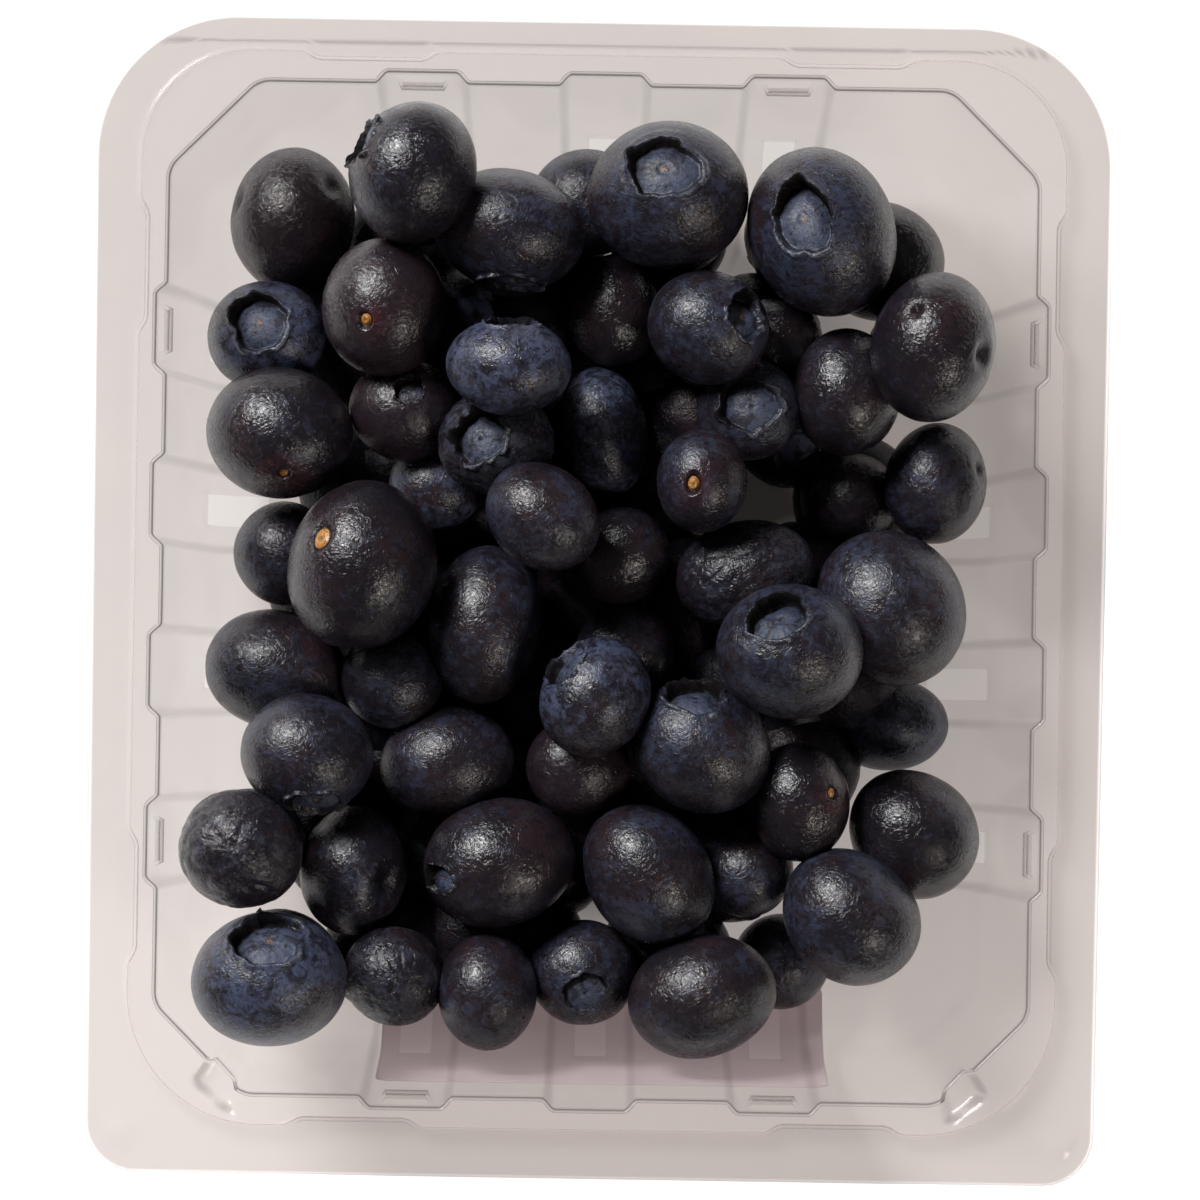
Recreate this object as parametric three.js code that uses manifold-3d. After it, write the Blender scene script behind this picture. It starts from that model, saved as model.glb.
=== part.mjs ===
// A punnet of blueberries: a clear thermoformed tray, open at the top, the heap of berries
// in it, and the paper label on the outside of its front wall. Millimetres, +Z up.
// The origin is on the ground under the middle of the tray's opening. +X runs to the right
// and +Y to the back edge, where the tray's lid would be hinged.

import * as THREE from 'three';
import { mergeVertices } from 'three/addons/utils/BufferGeometryUtils.js';
import Module from 'manifold-3d';

const manifold = await Module();
manifold.setup();

const DEG = Math.PI / 180;
const SQRT_2 = Math.SQRT2;

// ---------------------------------------------------------------- driving dimensions

const TRAY = {
  height: 45, // ground to the top of the rim
  sheet: 0.5, // thickness of the plastic
  halfWidth: 54.4, // opening, to the inside of the side walls
  halfLength: 63.3, // opening, to the inside of the end walls
  cornerCut: 11, // how far each corner of the opening is cut off
  cornerRadius: 3, // where a cut meets a wall
  draft: 8 * DEG, // lean of the walls
  footRadius: 12, // the bend from wall to floor
};

const RIB = {
  sidePlaces: [-32.1, -10.7, 10.7, 32.1], // along the side walls
  endPlaces: [-23, 0, 23], // along the front and back walls
  proud: 1.4, // how far a rib stands out of its wall
  halfFoot: 5.8, // where its flanks leave the wall
  halfCrown: 4.4, // its flat
};

const VENT = { width: 4.1, low: 1.6, high: 12.5, past: 4 }; // one slot at the foot of each rib

const LUG = { length: 6, proud: 1.3, top: 42.5, middle: 41, low: 38 }; // on the outer ribs

const FLANGE = {
  halfWidth: 63.2,
  back: 70.6,
  front: 72.4,
  backRadius: 14,
  frontRadius: 7,
  stepDown: 2.4, // the outer flange lies this far under the rim
};

const RIM = { halfWidth: 58.3, halfLength: 67.6, backRadius: 14, frontRadius: 17 };

const CATCH = { // shallow pinches in the rim's step, which the lid snaps into
  sidePlaces: [-39, 40],
  endPlaces: [-29.5, 30.5],
  halfLength: 8.8,
  halfFlat: 6.2,
  deep: 1.1,
};

const NOTCH = { width: 3.6, inner: -2.2, outer: 3.8, deep: 2 }; // across the front corner cuts

const BUTTON = { x: 58.8, y: -68.5, radius: 1.9, high: 0.8 }; // on the front flange corners

const HINGE = { fromBack: 2.4, width: 0.5, deep: 0.2, halfLength: 55 };

const LABEL = { centre: 1.6, width: 58.4, top: 25, paper: 0.25, gap: 0.32 };

const LEAST_RISE = 0.02; // share of a rib's height left at its foot
const MOST_ROUND = 0.45; // share of a corner cut that each of its roundings may take
const SUNK = 0.3; // how deep what is added to the sheet reaches into it
const PAST = 1; // how far a cutter reaches past the face it cuts

const HEAP_GAP = 0.35; // between the berries and the tray

// The eye that the berries' places are given for. Each place is where its berry covers the
// plane of the rim, so a berry that lies deeper is moved along its line of sight. The eye's
// own axes lie turned against the tray's.
const EYE = { back: -14, above: 648, turn: 0.93 * DEG };

// Berries that show, deepest first: x, y, longest and shortest width, turn of the long axis.
const DEEP_BERRIES = [
  [-20.2, 13.3, 12.0, 11.0, 0],
  [-1.2, 48.6, 14.5, 13.5, 0],
  [22.2, 30.8, 12.0, 12.0, 0],
  [-24.0, 22.7, 14.0, 13.0, 0],
  [2.8, 4.6, 12.5, 12.0, 0],
  [-25.7, -11.0, 12.5, 12.5, 0],
  [-2.4, -22.0, 13.0, 12.5, 0],
  [18.8, -35.0, 11.5, 11.5, 0],
  [22.8, -47.0, 12.0, 12.0, 0],
  [3.4, -7.4, 12.5, 12.0, 0],
];
const MIDDLE_BERRIES = [
  [35.4, 41.2, 15.8, 15.0, 0],
  [2.0, 35.0, 14.4, 11.8, 90],
  [-12.6, 18.6, 14.8, 13.5, 0],
  [19.0, 22.7, 13.0, 12.5, 0],
  [31.0, 24.8, 16.0, 13.5, 90],
  [31.6, 11.7, 12.5, 11.5, 0],
  [-39.3, 4.8, 13.2, 12.4, 90],
  [18.4, 1.8, 17.5, 14.2, 10],
  [25.1, -26.2, 15.0, 12.8, 90],
  [-25.3, -48.0, 13.0, 12.2, -30],
];
const TOP_BERRIES = [
  [-26.6, 35.6, 17.5, 15.5, 90],
  [-41.6, 32.0, 14.9, 14.0, 0],
  [-39.1, 47.4, 18.1, 15.6, 85],
  [-11.0, 45.4, 18.8, 15.3, -8],
  [-23.1, 52.8, 17.8, 16.0, 70],
  [8.8, 49.6, 20.0, 18.7, -10],
  [28.1, 45.0, 21.6, 18.2, -70],
  [42.0, 30.6, 19.0, 15.4, 80],
  [13.8, 33.1, 15.3, 14.2, -20],
  [0.7, 20.0, 16.5, 11.0, 100],
  [-11.1, 28.2, 15.6, 12.2, 0],
  [-39.6, 19.8, 18.6, 16.3, -10],
  [42.3, 13.6, 15.2, 12.6, 80],
  [13.0, 13.8, 13.4, 11.4, 90],
  [-6.9, 9.4, 14.8, 13.0, -40],
  [-14.0, -4.2, 20.0, 14.2, 85],
  [-29.3, 3.3, 21.3, 18.8, 75],
  [36.6, -2.0, 20.2, 18.0, -50],
  [-41.2, -9.7, 18.0, 14.8, -12],
  [-18.7, -21.3, 17.0, 13.9, 10],
  [-36.3, -20.3, 17.0, 14.8, -15],
  [12.9, -19.4, 18.4, 16.2, -30],
  [24.1, -7.6, 18.4, 16.6, 0],
  [-0.3, -13.3, 15.3, 13.6, 60],
  [39.1, -16.6, 14.8, 11.6, 0],
  [40.0, -30.3, 17.0, 15.2, -45],
  [-44.9, -32.1, 15.8, 14.4, -30],
  [-30.5, -34.8, 16.0, 13.4, 80],
  [-12.4, -33.8, 19.4, 15.8, 15],
  [6.3, -35.4, 18.6, 15.6, -55],
  [31.6, -40.5, 18.4, 16.0, -45],
  [-41.4, -48.8, 19.6, 16.8, 0],
  [-1.8, -47.5, 13.6, 13.2, 0],
  [-13.8, -49.9, 14.5, 12.5, 90],
  [13.1, -50.5, 19.0, 15.3, 10],
];

// Spots between the berries where the floor shows: x, y.
const GAPS = [[15.6, 42.1], [29.7, 33.3], [20.9, 10.8], [31.3, -29.8], [23.4, -40.8]];

const HEAP = {
  squeeze: 0.92, // how close two berries' middles come, as a share of their radii
  depth: 0.94, // a berry's height over its mean width
  top: 45, // no berry stands higher
  rounds: 8, // of settling, as a berry's height moves it along its line of sight
  corners: 1.02, // a faceted berry's corners over its true surface
};

// The buried berries: a bottom layer on a staggered grid, under the ones that show.
const BURIED = {
  gridX: 16.6,
  gridY: 14.6,
  stray: 1.3, // how far a berry lies off the grid
  small: 15, // widths
  large: 18,
  flattest: 0.86, // shortest width over longest
  roundest: 0.96,
  apart: 0.43, // of the two widths, between middles
  overhang: 0.6, // past the berries that hide it
  covered: 6, // of the eight points round it
  gapClear: 0.45, // of its width, off each gap
  highest: 15, // a berry that the walls lift higher is left out
  seed: 20611,
};

// A berry that hangs clear of the bottom layer has a smaller one under it.
const PROP = { inward: 0.96, long: 0.92, short: 0.86, squeeze: 0.93, lowest: 15, crowded: 0.55 };

// The core: height, half width and half length of each level.
const CORE = { radius: 10, levels: [[2, 28, 38], [8, 38, 47], [16.5, 41, 49], [18.5, 24, 38]] };

// ---------------------------------------------------------------- solids and outlines

/** The solid that a closed geometry bounds. */
function solid(geometry) {
  geometry.deleteAttribute('normal');
  geometry.deleteAttribute('uv');
  const merged = mergeVertices(geometry, 1e-5);
  return new manifold.Manifold(new manifold.Mesh({
    numProp: 3,
    vertProperties: new Float32Array(merged.attributes.position.array),
    triVerts: new Uint32Array(merged.index.array),
  }));
}

/** The geometry of a solid's surface. */
function surface(body) {
  const mesh = body.getMesh();
  const geometry = new THREE.BufferGeometry();
  geometry.setAttribute('position', new THREE.BufferAttribute(mesh.vertProperties, 3));
  geometry.setIndex(new THREE.BufferAttribute(mesh.triVerts, 1));
  return geometry;
}

/** The largest connected shell of a geometry: sealed hollows and loose scraps are dropped. */
function outerShell(geometry) {
  const index = geometry.index.array;
  const parent = Array.from({ length: geometry.attributes.position.count }, (_, i) => i);
  const rootOf = (i) => {
    let root = i;
    while (parent[root] !== root) root = parent[root];
    while (parent[i] !== root) [parent[i], i] = [root, parent[i]];
    return root;
  };
  for (let i = 0; i < index.length; i += 3) {
    parent[rootOf(index[i])] = rootOf(index[i + 1]);
    parent[rootOf(index[i + 1])] = rootOf(index[i + 2]);
  }
  const shells = new Map();
  for (let i = 0; i < index.length; i += 3) {
    const root = rootOf(index[i]);
    if (!shells.has(root)) shells.set(root, []);
    shells.get(root).push(index[i], index[i + 1], index[i + 2]);
  }
  const [largest] = [...shells.values()].sort((a, b) => b.length - a.length);
  geometry.setIndex(largest);
  return geometry;
}

/** A closed outline through corners {x, y, radius, steps}, rounded where steps is over 0. */
function roundedOutline(corners) {
  const count = corners.length;
  return corners.flatMap(({ x, y, radius = 0, steps = 0 }, i) => {
    const here = new THREE.Vector2(x, y);
    if (!steps) return [here];
    const before = corners[(i + count - 1) % count];
    const after = corners[(i + 1) % count];
    const back = new THREE.Vector2(before.x, before.y).sub(here).normalize();
    const on = new THREE.Vector2(after.x, after.y).sub(here).normalize();
    const half = Math.acos(THREE.MathUtils.clamp(back.dot(on), -1, 1)) / 2;
    const middle = back.clone().add(on).normalize().multiplyScalar(radius / Math.sin(half));
    const centre = here.clone().add(middle);
    const first = here.clone().addScaledVector(back, radius / Math.tan(half)).sub(centre);
    const sweep = Math.PI - 2 * half;
    return Array.from({ length: steps + 1 }, (_, k) => (
      first.clone().rotateAround(new THREE.Vector2(), (sweep * k) / steps).add(centre)
    ));
  });
}

/** A closed solid through outlines of equal length, each {points, z}, from the lowest up. */
function loft(levels) {
  const around = levels[0].points.length;
  const position = levels.flatMap(({ points, z }) => points.flatMap((p) => [p.x, p.y, z]));
  const index = [];
  for (let level = 0; level + 1 < levels.length; level += 1) {
    for (let i = 0; i < around; i += 1) {
      const a = level * around + i;
      const b = level * around + ((i + 1) % around);
      index.push(a, b, b + around, a, b + around, a + around);
    }
  }
  const top = (levels.length - 1) * around;
  for (const [a, b, c] of THREE.ShapeUtils.triangulateShape(levels[0].points, [])) {
    index.push(a, c, b);
  }
  for (const [a, b, c] of THREE.ShapeUtils.triangulateShape(levels.at(-1).points, [])) {
    index.push(top + a, top + b, top + c);
  }
  const geometry = new THREE.BufferGeometry();
  geometry.setAttribute('position', new THREE.Float32BufferAttribute(position, 3));
  geometry.setIndex(index);
  return solid(geometry);
}

/** A flat slab with the outline, from low to high. */
function slab(points, low, high) {
  return loft([{ points, z: low }, { points, z: high }]);
}

/** A box given by its lowest and highest corners, turned about Z at the origin and moved. */
function block(low, high, turn = 0, place = [0, 0, 0]) {
  const size = high.map((value, axis) => value - low[axis]);
  const geometry = new THREE.BoxGeometry(...size);
  geometry.translate(...high.map((value, axis) => (value + low[axis]) / 2));
  geometry.rotateZ(turn);
  geometry.translate(...place);
  return solid(geometry);
}

/** Joins a list of solids. */
function join(bodies) {
  return bodies.reduce((whole, body) => whole.add(body));
}

// ---------------------------------------------------------------- the tray

const WALLS = [
  { turn: 0, out: [1, 0], along: [0, 1], side: true },
  { turn: 90 * DEG, out: [0, 1], along: [-1, 0], side: false },
  { turn: 180 * DEG, out: [-1, 0], along: [0, -1], side: true },
  { turn: 270 * DEG, out: [0, -1], along: [1, 0], side: false },
];

/** The point at a distance along a wall and a reach from the middle. */
function wallPoint(wall, along, reach, rounding = {}) {
  return {
    x: wall.out[0] * reach + wall.along[0] * along,
    y: wall.out[1] * reach + wall.along[1] * along,
    ...rounding,
  };
}

/** Places of what repeats along a wall, in that wall's own direction. */
function placesOn(wall, { sidePlaces, endPlaces }) {
  const places = wall.side ? sidePlaces : endPlaces;
  const way = wall.along[0] + wall.along[1];
  return places.map((place) => place * way).sort((a, b) => a - b);
}

/** The opening's outline moved in by inset, with ribs that stand out by proud, if over 0. */
function cupOutline(inset, proud) {
  const halfWidth = TRAY.halfWidth - inset;
  const halfLength = TRAY.halfLength - inset;
  const cut = TRAY.cornerCut - inset * (2 - SQRT_2);
  const mostRound = (MOST_ROUND * cut * SQRT_2) / Math.tan(22.5 * DEG);
  const rounding = { radius: Math.min(TRAY.cornerRadius, mostRound), steps: 3 };
  return roundedOutline(WALLS.flatMap((wall) => {
    const reach = wall.side ? halfWidth : halfLength;
    const run = (wall.side ? halfLength : halfWidth) - cut;
    const ribs = (proud > 0 ? placesOn(wall, RIB) : []).flatMap((place) => [
      wallPoint(wall, place - RIB.halfFoot, reach),
      wallPoint(wall, place - RIB.halfCrown, reach + proud),
      wallPoint(wall, place + RIB.halfCrown, reach + proud),
      wallPoint(wall, place + RIB.halfFoot, reach),
    ]);
    return [wallPoint(wall, -run, reach, rounding), ...ribs, wallPoint(wall, run, reach, rounding)];
  }));
}

/** How far the wall has come in at a height over the ground, on its outer face. */
function wallInset(height) {
  const bend = TRAY.footRadius;
  const foot = (TRAY.height - bend) * Math.tan(TRAY.draft);
  if (height >= bend) return (TRAY.height - height) * Math.tan(TRAY.draft);
  return foot + bend - Math.sqrt(bend ** 2 - (bend - height) ** 2);
}

/** Heights at which the cup's outline is drawn: closer together in the bend at its foot. */
function cupHeights() {
  const bends = [0, 28, 58, 90].map((angle) => TRAY.footRadius * (1 - Math.cos(angle * DEG)));
  return [...bends, TRAY.height];
}

/** Levels of the cup as a full body: grown by a thickness of plastic, or shrunk by a gap. */
function cup(grow, floor, proud) {
  return cupHeights().map((height, i, all) => {
    const rise = Math.min(1, Math.max(LEAST_RISE, i / (all.length - 2)));
    return {
      points: cupOutline(wallInset(height) - grow, proud * rise),
      z: height * ((TRAY.height - floor) / TRAY.height) + floor,
    };
  });
}

/** Outline of the rim's step, moved in by inset, with the pinches for the lid. */
function rimOutline(inset) {
  const round = (radius) => ({ radius: radius - inset, steps: 7 });
  const corner = { front: round(RIM.frontRadius), back: round(RIM.backRadius) };
  return roundedOutline(WALLS.flatMap((wall) => {
    const reach = (wall.side ? RIM.halfWidth : RIM.halfLength) - inset;
    const run = (wall.side ? RIM.halfLength : RIM.halfWidth) - inset;
    const pinches = placesOn(wall, CATCH).flatMap((place) => [
      wallPoint(wall, place - CATCH.halfLength, reach),
      wallPoint(wall, place - CATCH.halfFlat, reach - CATCH.deep),
      wallPoint(wall, place + CATCH.halfFlat, reach - CATCH.deep),
      wallPoint(wall, place + CATCH.halfLength, reach),
    ]);
    const start = wallPoint(wall, -run, reach);
    return [{ ...start, ...(start.y > 0 ? corner.back : corner.front) }, ...pinches];
  }));
}

/** Outline of the whole flange. */
function flangeOutline() {
  const { halfWidth, back, front, backRadius, frontRadius } = FLANGE;
  return roundedOutline([
    { x: halfWidth, y: -front, radius: frontRadius, steps: 6 },
    { x: halfWidth, y: back, radius: backRadius, steps: 8 },
    { x: -halfWidth, y: back, radius: backRadius, steps: 8 },
    { x: -halfWidth, y: -front, radius: frontRadius, steps: 6 },
  ]);
}

/** Slots through the foot of every rib. */
function ventCutters() {
  return WALLS.flatMap((wall) => placesOn(wall, RIB).map((place) => {
    const reach = wall.side ? TRAY.halfWidth : TRAY.halfLength;
    const half = VENT.width / 2;
    const low = [reach - 2 * TRAY.footRadius, place - half, VENT.low];
    return block(low, [reach + VENT.past, place + half, VENT.high], wall.turn);
  }));
}

/** Wedge-shaped lugs that keep stacked trays apart, on the outermost ribs of each wall. */
function nestingLugs() {
  return WALLS.flatMap((wall) => {
    const places = placesOn(wall, RIB);
    return [places[0], places.at(-1)].map((place) => {
      const face = (wall.side ? TRAY.halfWidth : TRAY.halfLength) + RIB.proud;
      const at = (height, proud) => new THREE.Vector2(face - wallInset(height) - proud, height);
      const shape = new THREE.Shape([
        at(LUG.low, -SUNK), at(LUG.top, -SUNK), at(LUG.middle, LUG.proud),
      ]);
      const geometry = new THREE.ExtrudeGeometry(shape, { depth: LUG.length, bevelEnabled: false });
      geometry.translate(0, 0, -place - LUG.length / 2);
      geometry.rotateX(90 * DEG);
      geometry.rotateZ(wall.turn);
      return solid(geometry);
    });
  });
}

/** The channel across each front corner cut: its trough grown by a thickness, or bare. */
function cornerNotches(grow) {
  const middleX = TRAY.halfWidth - TRAY.cornerCut / 2;
  const middleY = TRAY.halfLength - TRAY.cornerCut / 2;
  const half = NOTCH.width / 2 + grow;
  const floor = TRAY.height - NOTCH.deep - grow;
  const top = TRAY.height + (grow ? 0 : PAST);
  const low = [NOTCH.inner - grow, -half, floor];
  const high = [NOTCH.outer + grow, half, top];
  return join([
    block(low, high, -45 * DEG, [middleX, -middleY, 0]),
    block(low, high, -135 * DEG, [-middleX, -middleY, 0]),
  ]);
}

/** A low round dome on each front corner of the flange. */
function cornerButtons() {
  const base = TRAY.height - FLANGE.stepDown;
  return join([-1, 1].map((way) => {
    const { radius, high } = BUTTON;
    const profile = [[0, -SUNK], [radius, -SUNK], [radius * 0.7, high * 0.7], [0, high]];
    const geometry = new THREE.LatheGeometry(profile.map((p) => new THREE.Vector2(...p)), 12);
    geometry.rotateX(90 * DEG);
    geometry.translate(way * BUTTON.x, BUTTON.y, base);
    return solid(geometry);
  }));
}

/** The fold line where the lid was hinged. */
function hingeGroove() {
  const y = FLANGE.back - HINGE.fromBack;
  const top = TRAY.height - FLANGE.stepDown;
  return block(
    [-HINGE.halfLength, y - HINGE.width / 2, top - HINGE.deep],
    [HINGE.halfLength, y + HINGE.width / 2, top + PAST],
  );
}

function trayGeometry() {
  const { height, sheet } = TRAY;
  const lowTop = height - FLANGE.stepDown;
  const plate = slab(flangeOutline(), lowTop - sheet, lowTop);
  const rimBlock = slab(rimOutline(0), lowTop - sheet, height);
  const underRim = slab(rimOutline(sheet), lowTop - sheet - PAST, height - sheet);
  const troughs = cornerNotches(sheet);
  const mouth = { points: cupOutline(0, RIB.proud), z: height + PAST };
  const opening = loft([...cup(0, sheet, RIB.proud), mouth]);
  const shell = plate
    .add(rimBlock)
    .subtract(underRim)
    .add(loft(cup(sheet, 0, RIB.proud)))
    .add(troughs)
    .subtract(opening.subtract(troughs))
    .subtract(cornerNotches(0))
    .add(join(nestingLugs()))
    .add(cornerButtons())
    .subtract(hingeGroove());
  return surface(ventCutters().reduce((body, cutter) => body.subtract(cutter), shell));
}

// ---------------------------------------------------------------- the heap of berries

/** A repeatable draw from 0 to 1. */
function makeDraw(seed) {
  let state = seed;
  return () => {
    state = (state * 16807) % 2147483647;
    return state / 2147483647;
  };
}

/** Share by which the eye's view widens from the plane of the rim down to a height. */
function widening(z) {
  return (TRAY.height + EYE.above - z) / EYE.above;
}

/** Lowest height at which a berry clears the leaning walls. */
function heightByWall(x, y, radius) {
  const lean = radius / Math.cos(TRAY.draft) + HEAP_GAP;
  const slope = 1 / Math.tan(TRAY.draft);
  const cut = TRAY.halfWidth + TRAY.halfLength - TRAY.cornerCut;
  const spare = [
    TRAY.halfWidth - Math.abs(x),
    TRAY.halfLength - Math.abs(y),
    (cut - Math.abs(x) - Math.abs(y)) / SQRT_2,
  ];
  return Math.max(...spare.map((gap) => TRAY.height - (gap - lean) * slope));
}

/** Half a berry's width from above, along a direction. */
function halfWidthAlong(berry, angle) {
  const long = (berry.long / 2) * berry.widened;
  const short = (berry.short / 2) * berry.widened;
  const turn = angle - berry.turn;
  return (long * short) / Math.hypot(short * Math.cos(turn), long * Math.sin(turn));
}

/** Height at which a berry rests on another, or 0 where it passes it by. */
function heightOn(berry, other) {
  const angle = Math.atan2(berry.y - other.y, berry.x - other.x);
  const reach = (halfWidthAlong(berry, angle) + halfWidthAlong(other, angle)) * HEAP.squeeze;
  const aside = Math.hypot(berry.x - other.x, berry.y - other.y) / reach;
  if (aside >= 1) return 0;
  return other.z + (berry.rise + other.rise) * HEAP.squeeze * Math.sqrt(1 - aside ** 2);
}

/** Puts a berry at a height on its line of sight: rise is half its height. */
function lift(berry, height) {
  berry.z = height;
  berry.widened = widening(height);
  berry.x = berry.seenX * berry.widened;
  berry.y = EYE.back + (berry.seenY - EYE.back) * berry.widened;
  berry.rise = ((berry.long + berry.short) / 4) * berry.widened * HEAP.depth;
}

/** Lowers a berry {seenX, seenY, long, short, turn} until it rests on what is laid. */
function settle(berry, laid) {
  lift(berry, berry.short / 2);
  for (let round = 0; round < HEAP.rounds; round += 1) {
    const floor = TRAY.sheet + HEAP_GAP + berry.rise;
    const wall = heightByWall(berry.x, berry.y, (berry.short / 2) * berry.widened);
    const rest = Math.max(floor, wall, ...laid.map((other) => heightOn(berry, other)));
    lift(berry, Math.min(HEAP.top - berry.rise, rest));
  }
  return berry;
}

/** A place seen by the eye, turned into the tray's own axes. */
function turned([x, y]) {
  return new THREE.Vector2(x, y).rotateAround(new THREE.Vector2(), EYE.turn);
}

/** Rows of a table as berries. */
function fromRows(rows) {
  return rows.map(([x, y, long, short, turn]) => {
    const seen = turned([x, y]);
    return { seenX: seen.x, seenY: seen.y, long, short, turn: turn * DEG + EYE.turn };
  });
}

/** How many of eight points round a spot are hidden by the berries that show. */
function coverCount(x, y, width, shown) {
  const hidden = (angle) => {
    const edgeX = x + (width / 2) * Math.cos(angle);
    const edgeY = y + (width / 2) * Math.sin(angle);
    return shown.some((b) => (
      Math.hypot(edgeX - b.seenX, edgeY - b.seenY) < (b.long + b.short) / 4 + BURIED.overhang
    ));
  };
  return Array.from({ length: 8 }, (_, k) => k * 45 * DEG).filter(hidden).length;
}

/** The bottom layer: berries on a staggered grid, only where the ones on top hide them. */
function bottomLayer(shown) {
  const draw = makeDraw(BURIED.seed);
  const between = (low, high) => low + draw() * (high - low);
  const gaps = GAPS.map(turned);
  const columns = Math.ceil(TRAY.halfWidth / BURIED.gridX);
  const rows = Math.ceil(TRAY.halfLength / BURIED.gridY);
  const laid = [];
  for (let row = -rows; row <= rows; row += 1) {
    for (let column = -columns; column <= columns; column += 1) {
      const stagger = (Math.abs(row) % 2) / 2;
      const seenX = (column + stagger) * BURIED.gridX + between(-BURIED.stray, BURIED.stray);
      const seenY = row * BURIED.gridY + between(-BURIED.stray, BURIED.stray);
      const long = between(BURIED.small, BURIED.large);
      const short = long * between(BURIED.flattest, BURIED.roundest);
      const turn = between(0, Math.PI);
      const covered = coverCount(seenX, seenY, long, shown) >= BURIED.covered;
      const free = laid.every((b) => (
        Math.hypot(seenX - b.seenX, seenY - b.seenY) > (long + b.long) * BURIED.apart
      ));
      const off = gaps.every((gap) => (
        Math.hypot(seenX - gap.x, seenY - gap.y) > long * BURIED.gapClear
      ));
      if (!covered || !free || !off) continue;
      const berry = settle({ seenX, seenY, long, short, turn }, laid);
      if (berry.z <= BURIED.highest) laid.push(berry);
    }
  }
  return laid;
}

/** The berry that holds up another from below, on the same line of sight. */
function propUnder(berry) {
  const prop = {
    seenX: berry.seenX * PROP.inward,
    seenY: berry.seenY * PROP.inward,
    long: berry.short * PROP.long,
    short: berry.short * PROP.short,
    turn: berry.turn,
  };
  lift(prop, berry.z);
  lift(prop, berry.z - (berry.rise + prop.rise) * PROP.squeeze);
  return prop;
}

/** True if a prop would lie mostly inside a berry that is there already. */
function crowded(prop, laid) {
  return laid.some((b) => (
    Math.hypot(prop.x - b.x, prop.y - b.y) + Math.abs(prop.z - b.z)
      < (prop.rise + b.rise) * PROP.crowded
  ));
}

/** Every berry of the heap, from the floor up. */
function heapBerries() {
  const shown = fromRows([...DEEP_BERRIES, ...MIDDLE_BERRIES, ...TOP_BERRIES]);
  const laid = bottomLayer(shown);
  for (const berry of shown) laid.push(settle(berry, laid));
  for (const berry of shown) {
    const prop = propUnder(berry);
    if (prop.z >= PROP.lowest && !crowded(prop, laid)) laid.push(prop);
  }
  return laid;
}

/** One berry as a squashed ball of few sides, whose corners stand a little proud. */
function berrySolid(berry) {
  const geometry = new THREE.IcosahedronGeometry(HEAP.corners, 1);
  const { long, short, widened } = berry;
  geometry.scale((long / 2) * widened, (short / 2) * widened, berry.rise);
  geometry.rotateZ(berry.turn);
  geometry.translate(berry.x, berry.y, berry.z);
  return solid(geometry);
}

/** The body that the outer berries are fused to. */
function heapCore() {
  const corners = [[1, -1], [1, 1], [-1, 1], [-1, -1]];
  return loft(CORE.levels.map(([z, halfWidth, halfLength]) => ({
    points: roundedOutline(corners.map(([wayX, wayY]) => ({
      x: wayX * halfWidth, y: wayY * halfLength, radius: CORE.radius, steps: 2,
    }))),
    z,
  })));
}

function heapGeometry() {
  const berries = heapBerries();
  const room = loft(cup(-HEAP_GAP, TRAY.sheet + HEAP_GAP, 0));
  const heap = join([heapCore(), ...berries.map(berrySolid)]).intersect(room);
  return outerShell(surface(heap));
}

// ---------------------------------------------------------------- the label

/** A strip of paper carried down the front wall over its ribs and round the bend. */
function labelGeometry() {
  const reach = TRAY.halfLength + TRAY.sheet + RIB.proud;
  const bend = TRAY.footRadius;
  const foot = [14, 24, 34, 44, 56, 70].map((angle) => bend * (1 - Math.cos(angle * DEG)));
  const heights = [...foot, bend, LABEL.top];
  const face = (height, out) => {
    const rise = Math.min(1, Math.acos(Math.max(0, 1 - height / bend)) / (90 * DEG));
    const fade = RIB.proud * (1 - rise);
    return new THREE.Vector2(reach - wallInset(height) - fade + out, height);
  };
  const inner = heights.map((height) => face(height, LABEL.gap));
  const outer = heights.map((height) => face(height, LABEL.gap + LABEL.paper)).reverse();
  const shape = new THREE.Shape([...inner, ...outer]);
  const geometry = new THREE.ExtrudeGeometry(shape, { depth: LABEL.width, bevelEnabled: false });
  geometry.translate(0, 0, -LABEL.width / 2 - LABEL.centre);
  geometry.rotateX(90 * DEG);
  geometry.rotateZ(-90 * DEG);
  return surface(solid(geometry));
}

// ---------------------------------------------------------------- the punnet

const CLEAR_PLASTIC = new THREE.MeshStandardMaterial({
  color: 0xdfdbd7, roughness: 0.12, metalness: 0, transparent: true, opacity: 0.3,
});
const BERRY_SKIN = new THREE.MeshStandardMaterial({ color: 0x26283a, roughness: 0.45, metalness: 0 });
const LABEL_PAPER = new THREE.MeshStandardMaterial({ color: 0x8f8188, roughness: 0.8, metalness: 0 });

function named(name, geometry, material) {
  const mesh = new THREE.Mesh(geometry, material);
  mesh.name = name;
  return mesh;
}

const punnet = new THREE.Group();
punnet.add(named('tray', trayGeometry(), CLEAR_PLASTIC));
punnet.add(named('berry_heap', heapGeometry(), BERRY_SKIN));
punnet.add(named('label', labelGeometry(), LABEL_PAPER));

export default punnet;
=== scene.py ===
"""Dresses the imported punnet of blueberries: its clear tray, its paper label and its berries.

Every class holds its sizes in millimetres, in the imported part's own axes, and turns them into
metres where a mesh is made. The berries lie where the part's own heap has them, because both
are laid by the same rule from the same table.
"""

from __future__ import annotations

import logging
import math
from collections.abc import Callable
from dataclasses import dataclass, field
from enum import Enum
from functools import cached_property

import bpy
import numpy as np
from mathutils import Matrix, Vector

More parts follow.
